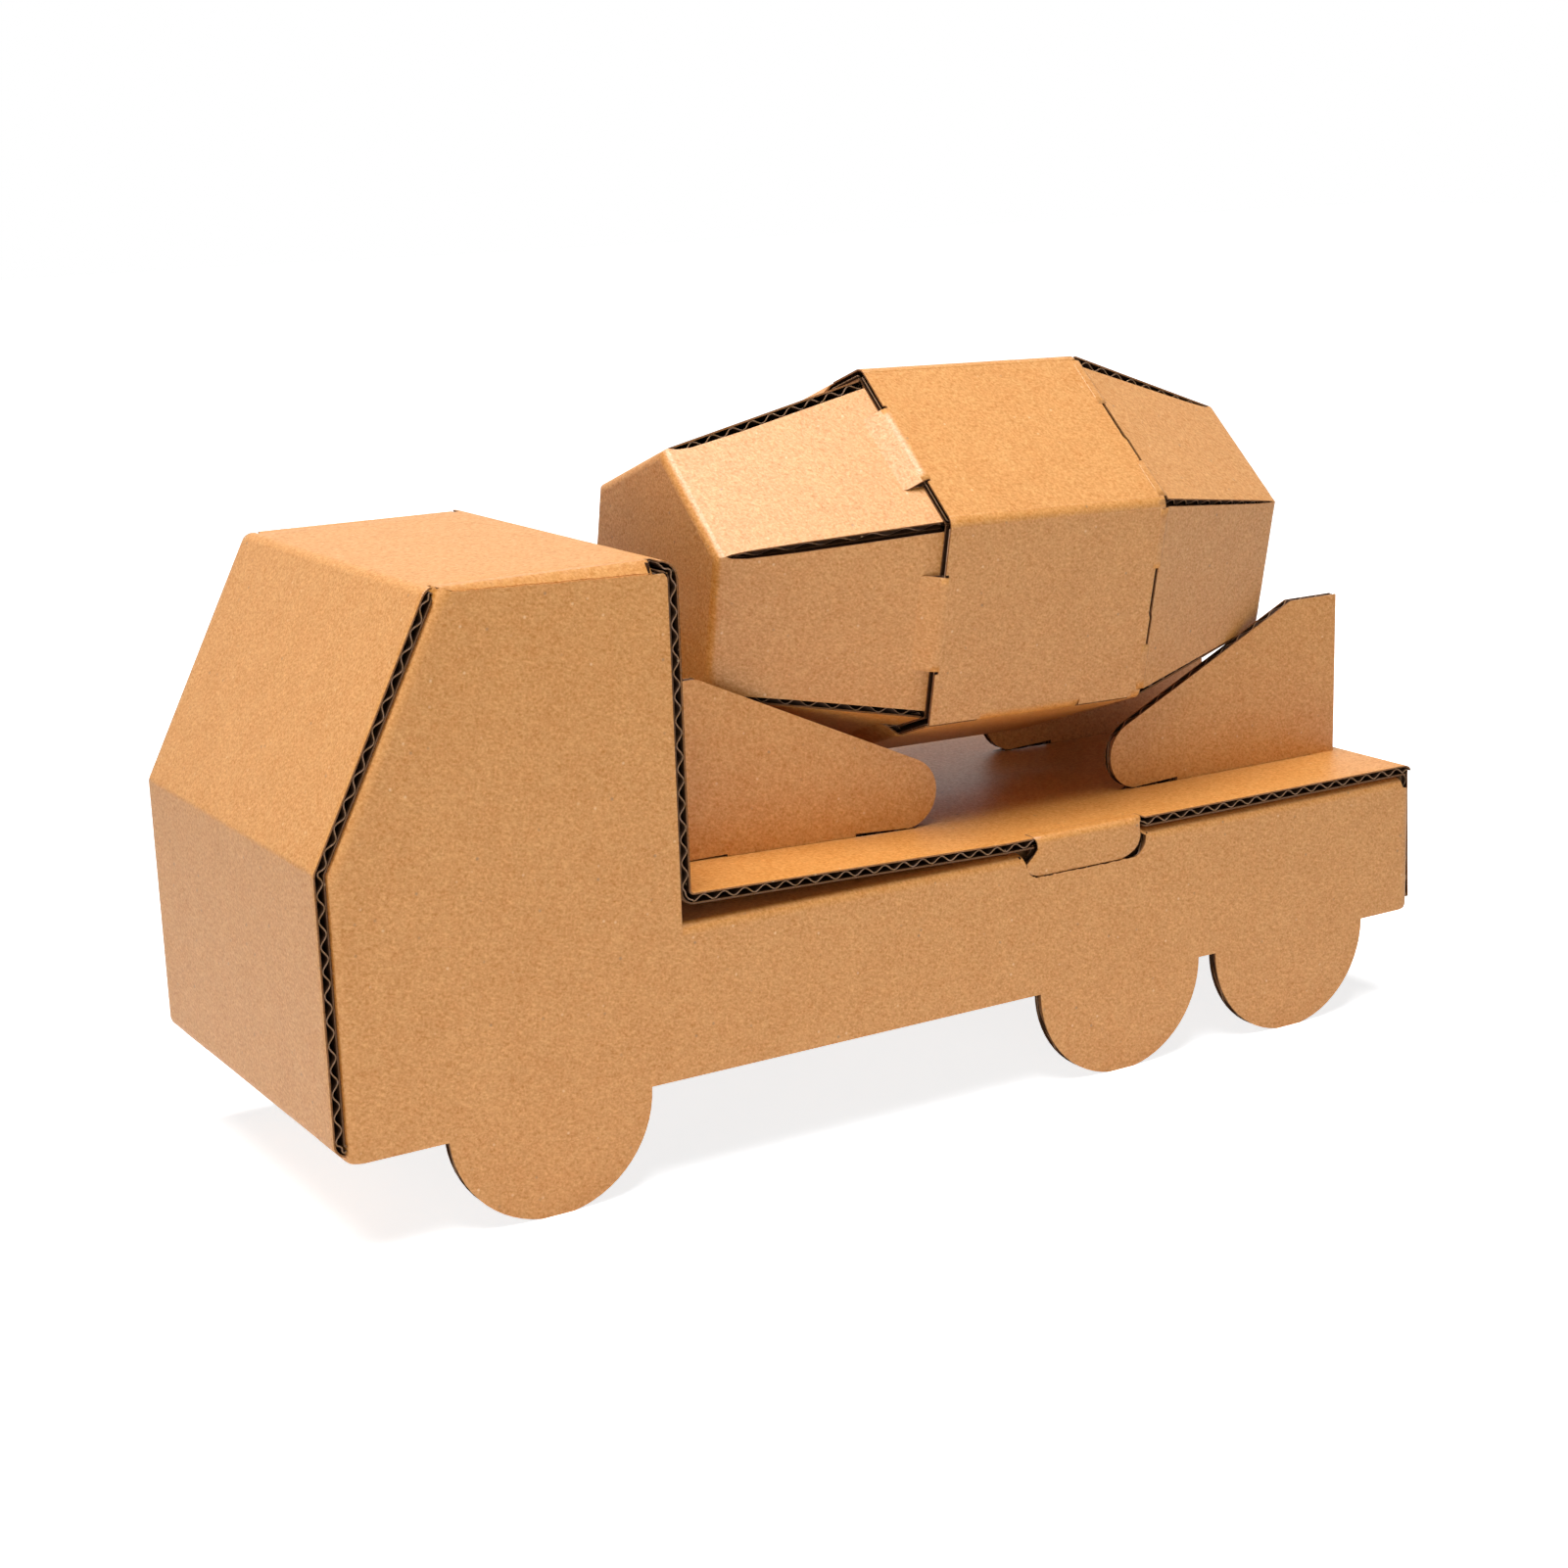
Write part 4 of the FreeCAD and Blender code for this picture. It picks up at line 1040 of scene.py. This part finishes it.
def facet(a, b, c):
    front, axis, _, _ = drumAxes()
    u = (b - a).normalized()
    v = (c - a) - u * (c - a).dot(u)
    v.normalize()
    n = u.cross(v).normalized()
    middle = (a + b + c) / 3
    if n.dot(middle - (front + axis * (middle - front).dot(axis))) < 0:
        n.negate()
    return u, v, n


def panel(liners, flutes, place, outer, inner, core, heading, phase=0.0):
    origin, u, v, n = place

    def space(x, y, depth):
        return origin + u * x + v * y - n * depth
    if sum(core[i - 1].cross(core[i]) for i in range(len(core))) < 0:
        core = core[::-1]
    addFlat(liners, [space(p.x, p.y, 0) for p in outer], n)
    addFlat(liners, [space(p.x, p.y, board["thickness"]) for p in inner], -n, inner=1)
    fluteColumns(flutes, insetLoop(core, [0.05] * len(core)), heading, space, n, phase)


def trimmed(near, far, trim, shares=((0.0, 0.0), (0.03, 0.42), (0.1, 0.74), (0.35, 0.93), (1.0, 1.0))):
    return [near + (far - near) * s + Vector((trim * t, 0)) for s, t in shares]


def creasedFold(bag, rows, outward, wander=0.12):
    grid = []
    for a, corner, b in rows:
        sway = noise.noise(corner * 0.55) * wander
        inwards = ((a + b) / 2 - corner) * (0.12 + sway)
        grid.append(bezier(a, corner + inwards, b, 8))
    addGrid(bag, grid, outward)


def capFold(liners, k, along, ridge, panelEdge, outward):
    capEdge = [drumCorner(i, drum["endSide"] - drum["capFold"] * drum["capInset"], along) for i in (k, k + 1)]
    steps = drum["capSteps"]
    rows = [(capEdge[0].lerp(capEdge[1], t), ridge[0].lerp(ridge[1], t), panelEdge[0].lerp(panelEdge[1], t))
            for t in (i / steps for i in range(steps + 1))]
    creasedFold(liners, rows, outward)


def mitre():
    return board["thickness"] * math.tan(math.radians(30))


def nosePanel(k, liners, flutes):
    _, axis, _, _ = drumAxes()
    thick = board["thickness"]
    under = drum["side"] - thick / math.cos(math.radians(30))
    a, b = drumCorner(k, drum["endSide"], 0), drumCorner(k + 1, drum["endSide"], 0)
    c, d = drumCorner(k, under, drum["nose"]), drumCorner(k + 1, under, drum["nose"])
    u, v, n = facet(a, b, c)
    length, left, right = (c - a).dot(v), (c - a).dot(u), (d - a).dot(u)
    wide = (b - a).length
    plain = mitre()
    trimLeft = drum["noseTrim"].get(k, (plain, plain))[1]
    trimRight = drum["noseTrim"].get((k + 1) % 6, (plain, plain))[0]
    lug0, lug1 = (left + (right - left) * s for s in drum["lug"])
    back = length - drum["lugRun"]
    slot = roundCorners([(lug1 + 0.25, length, 0), (lug1 + 0.25, back, 0.9), (lug0 - 0.25, back, 0.9),
                         (lug0 - 0.25, length, 0)], False)
    f = drum["capFold"]

    def outline(start):
        lean = left * start / length
        a0, b0 = Vector((lean, start)), Vector((wide - lean, start))
        leftSide = trimmed(a0, Vector((left, length)), trimLeft)
        rightSide = trimmed(b0, Vector((right, length)), -trimRight)
        return divided(leftSide[0], rightSide[0], drum["capSteps"]) + rightSide + slot + leftSide[::-1][:-1]
    turn = math.radians(60 * k + drum["roll"] + 30)
    heading = (math.cos(turn), math.sin(turn))
    panel(liners, flutes, (a, u, v, n), outline(f), outline(drum["innerBack"]), outline(drum["coreBack"]),
          heading, k * 1.3)
    lean = left * f / length
    capFold(liners, k, 0, (a, b), (a + u * lean + v * f, b - u * lean + v * f), n - axis)
    flatOut = (n - axis * n.dot(axis)).normalized()
    for lo, hi in ((left + plain + 0.3, lug0 - 0.3), (lug1 + 0.3, right - plain - 0.3)):
        t = [Vector((lo, 0)), Vector((hi, 0)), Vector((hi, drum["tongue"])), Vector((lo, drum["tongue"]))]
        panel(liners, flutes, (a + v * length, u, axis, flatOut), t, t, t, heading)


def bandPanel(k, liners, flutes):
    _, axis, _, _ = drumAxes()
    start, h = drum["nose"], drum["band"]
    a, b = drumCorner(k, drum["side"], start), drumCorner(k + 1, drum["side"], start)
    u, v, n = facet(a, b, drumCorner(k, drum["side"], start + h))
    w, r, f = (b - a).length, drum["ridge"], drum["rearFold"]
    lug0, lug1 = w * drum["lug"][0], w * drum["lug"][1]
    s0, s1 = w * drum["slit"][0], w * drum["slit"][1]
    kink = s0 + (s1 - s0) * drum["kink"]
    g = drum["slitGap"][0]
    fold = drum["lip"]

    def sideEdge(folded, cut, jointed):
        points = []
        if not jointed:
            return [Vector((folded, 0)), Vector((folded, h - f))]
        for lo, hi in drum["jointSlits"]:
            points += [(folded, h * lo), (cut, h * lo), (cut, h * hi), (folded, h * hi)]
        points += [(folded, h - f)]
        return [Vector(p) for p in points if p[1] > 0 or p[0] == cut or not jointed]
    rightSide = sideEdge(w - r, w - 0.1, (k + 1) % 6 == drum["joint"])
    leftSide = sideEdge(r, 1.0, k == drum["joint"])

    def outline(folded):
        lip = fold if folded else 0.0
        lipLine = [(x, lip) for x in spread(lug0, lug1, 1.5)]
        frontEdge = [Vector(p) for p in ((lug0 - 0.45, 0), (lug0 - 0.4, 0.55), (lug0, 0.6), *lipLine,
                                         (lug1, 0.6), (lug1 + 0.4, 0.55), (lug1 + 0.45, 0))]
        if not folded:
            frontEdge = [Vector((lug0, 0)), Vector((lug1, 0))]
        slit = [Vector(p) for p in ((s1, h - f), (s1, h - g), (kink + 0.4, h - g + 0.05),
                                    (kink - 0.5, h - g - 0.25), (s0, h - g - 0.2), (s0, h - f))]
        return frontEdge + rightSide + slit + leftSide[::-1]
    inside = [Vector((1, 0)), Vector((w - 1, 0)), Vector((w - 1, h)), Vector((1, h))]
    panel(liners, flutes, (a, u, v, n), outline(True), inside, outline(False), (1, 0), k * 0.7)
    # lug, folded down from the band's front edge
    tilt = math.radians(drum["lugAngle"])
    lugV = -axis * math.cos(tilt) - n * math.sin(tilt)
    lugN = n * math.cos(tilt) - axis * math.sin(tilt)
    rows = [(a + u * x + v * fold, a + u * x, a + u * x + lugV * fold) for x in spread(lug0, lug1, 1.5)]
    creasedFold(liners, rows, n - axis * 0.5, 0.05)
    tip = drum["lugLength"]
    end = [(lug1, tip, drum["lugRound"]), (lug0, tip, drum["lugRound"])]
    lug = roundCorners([(x, fold, 0) for x in spread(lug0, lug1, 1.5)] + end)
    lugIn = roundCorners([(lug0, 0.2, 0), (lug1, 0.2, 0)] + end)
    panel(liners, flutes, (a, u, lugV, lugN), lug, lugIn, lugIn, (1, 0))
    # soft fold over the ridge to the next panel
    nu, _, nn = facet(b, drumCorner(k + 2, drum["side"], start), drumCorner(k + 1, drum["side"], start + h))
    runs = [(0.0, 1.0)]
    if (k + 1) % 6 == drum["joint"]:
        (_, lo), (hi, last) = drum["jointSlits"]
        runs = [(lo, hi), (last, 1.0)]
    for lo, hi in runs:
        rows = [(b - u * r + axis * t, b + axis * t, b + nu * r + axis * t)
                for t in spread(h * lo, h * hi, 1.8)]
        creasedFold(liners, rows, n + nn)
    return u, n


def rearPanel(k, liners, flutes):
    _, axis, _, _ = drumAxes()
    start = drum["nose"] + drum["band"]
    end = start + drum["rear"]
    a, b = drumCorner(k, drum["side"], start), drumCorner(k + 1, drum["side"], start)
    c = drumCorner(k, drum["endSide"], end)
    d = drumCorner(k + 1, drum["endSide"], end)
    u, v, n = facet(a, b, c)
    bandN = facet(a, b, a + axis)[2]
    length, w, narrow = (c - a).dot(v), (b - a).length, (c - a).dot(u)
    plain = mitre()
    trimLeft = drum["rearTrim"].get(k, (plain, plain))[1]
    trimRight = drum["rearTrim"].get((k + 1) % 6, (plain, plain))[0]
    s0, s1 = w * drum["slit"][0], w * drum["slit"][1]
    kink = s0 + (s1 - s0) * drum["kink"]
    f, g, cap = drum["rearFold"], drum["slitGap"][1], drum["capFold"]
    even = ((0.0, 0.0), (0.05, 0.3), (0.2, 0.5), (1.0, 1.0))

    def outline(stop, lift):
        lean = narrow * stop / length
        leftEnd, rightEnd = Vector((lean, stop)), Vector((w - lean, stop))
        share = lift / length
        leftSide = trimmed(leftEnd, Vector((narrow * share, lift)), trimLeft, even)
        rightSide = trimmed(rightEnd, Vector((w - narrow * share, lift)), -trimRight, even)
        slit = [Vector(p) for p in ((s0, f), (s0, g - 0.1), (kink - 0.5, g - 0.15), (kink + 0.4, g + 0.12),
                                    (s1, g), (s1, f))]
        if lift < f:
            slit = []
        return divided(rightSide[0], leftSide[0], drum["capSteps"]) + leftSide + slit + rightSide[::-1][:-1]
    panel(liners, flutes, (a, u, v, n), outline(length - cap, f), outline(length - drum["innerBack"], 0.1),
          outline(length - drum["coreBack"], f), (1, 0), k * 0.9)
    for lo, hi in ((drum["ridge"], s0), (s1, w - drum["ridge"])):
        rows = [(a + u * x - axis * f, a + u * x, a + u * x + v * f) for x in spread(lo, hi, 1.6)]
        creasedFold(liners, rows, n + bandN)
    lean = narrow * (length - cap) / length
    panelEdge = (a + u * lean + v * (length - cap), b - u * lean + v * (length - cap))
    capFold(liners, k, end, (c, d), panelEdge, n + axis)


def drumCap(liners, flutes, along, way):
    front, axis, up, side = drumAxes()
    thick = board["thickness"]
    rim = [drumCorner(k, drum["endSide"] - drum["capFold"] * drum["capInset"], along) for k in range(7)]
    outer = [p for k in range(6) for p in divided(rim[k], rim[k + 1], drum["capSteps"])]
    addFlat(liners, outer, axis * way)
    back = [drumCorner(k, drum["endSide"] - drum["capInnerBack"], along - way * thick) for k in range(6)]
    addFlat(liners, back, -axis * way, inner=1)
    centre = front + axis * along
    core = [drumCorner(k, drum["endSide"] - drum["capCoreBack"], along) - centre for k in range(6)]
    core = [Vector((p.dot(side), p.dot(up))) for p in core]
    if sum(core[i - 1].cross(core[i]) for i in range(6)) < 0:
        core.reverse()
    fluteColumns(flutes, core, (0, 1),
                 lambda x, y, depth: centre + side * x + up * y - axis * (way * depth), axis * way)


def makeDrum(tree, mats):
    nose, noseFlutes, wrap, wrapFlutes = newBag(), newBag(), newBag(), newBag()
    for k in range(6):
        nosePanel(k, nose, noseFlutes)
        bandPanel(k, wrap, wrapFlutes)
        rearPanel(k, wrap, wrapFlutes)
    drumCap(nose, noseFlutes, 0.0, -1)
    drumCap(wrap, wrapFlutes, drum["nose"] + drum["band"] + drum["rear"], 1)
    for node, liners, flutes in (("drum_nose", nose, noseFlutes), ("drum_wrap", wrap, wrapFlutes)):
        dress(node, node, "drum", liners, flutes, tree, mats)
    print("drum made")


addCamera()
addStudio()
mats = makeFinishes()
tree = fluteTree()
makeBody(tree, mats)
makeCradle(tree, mats)
makeDrum(tree, mats)
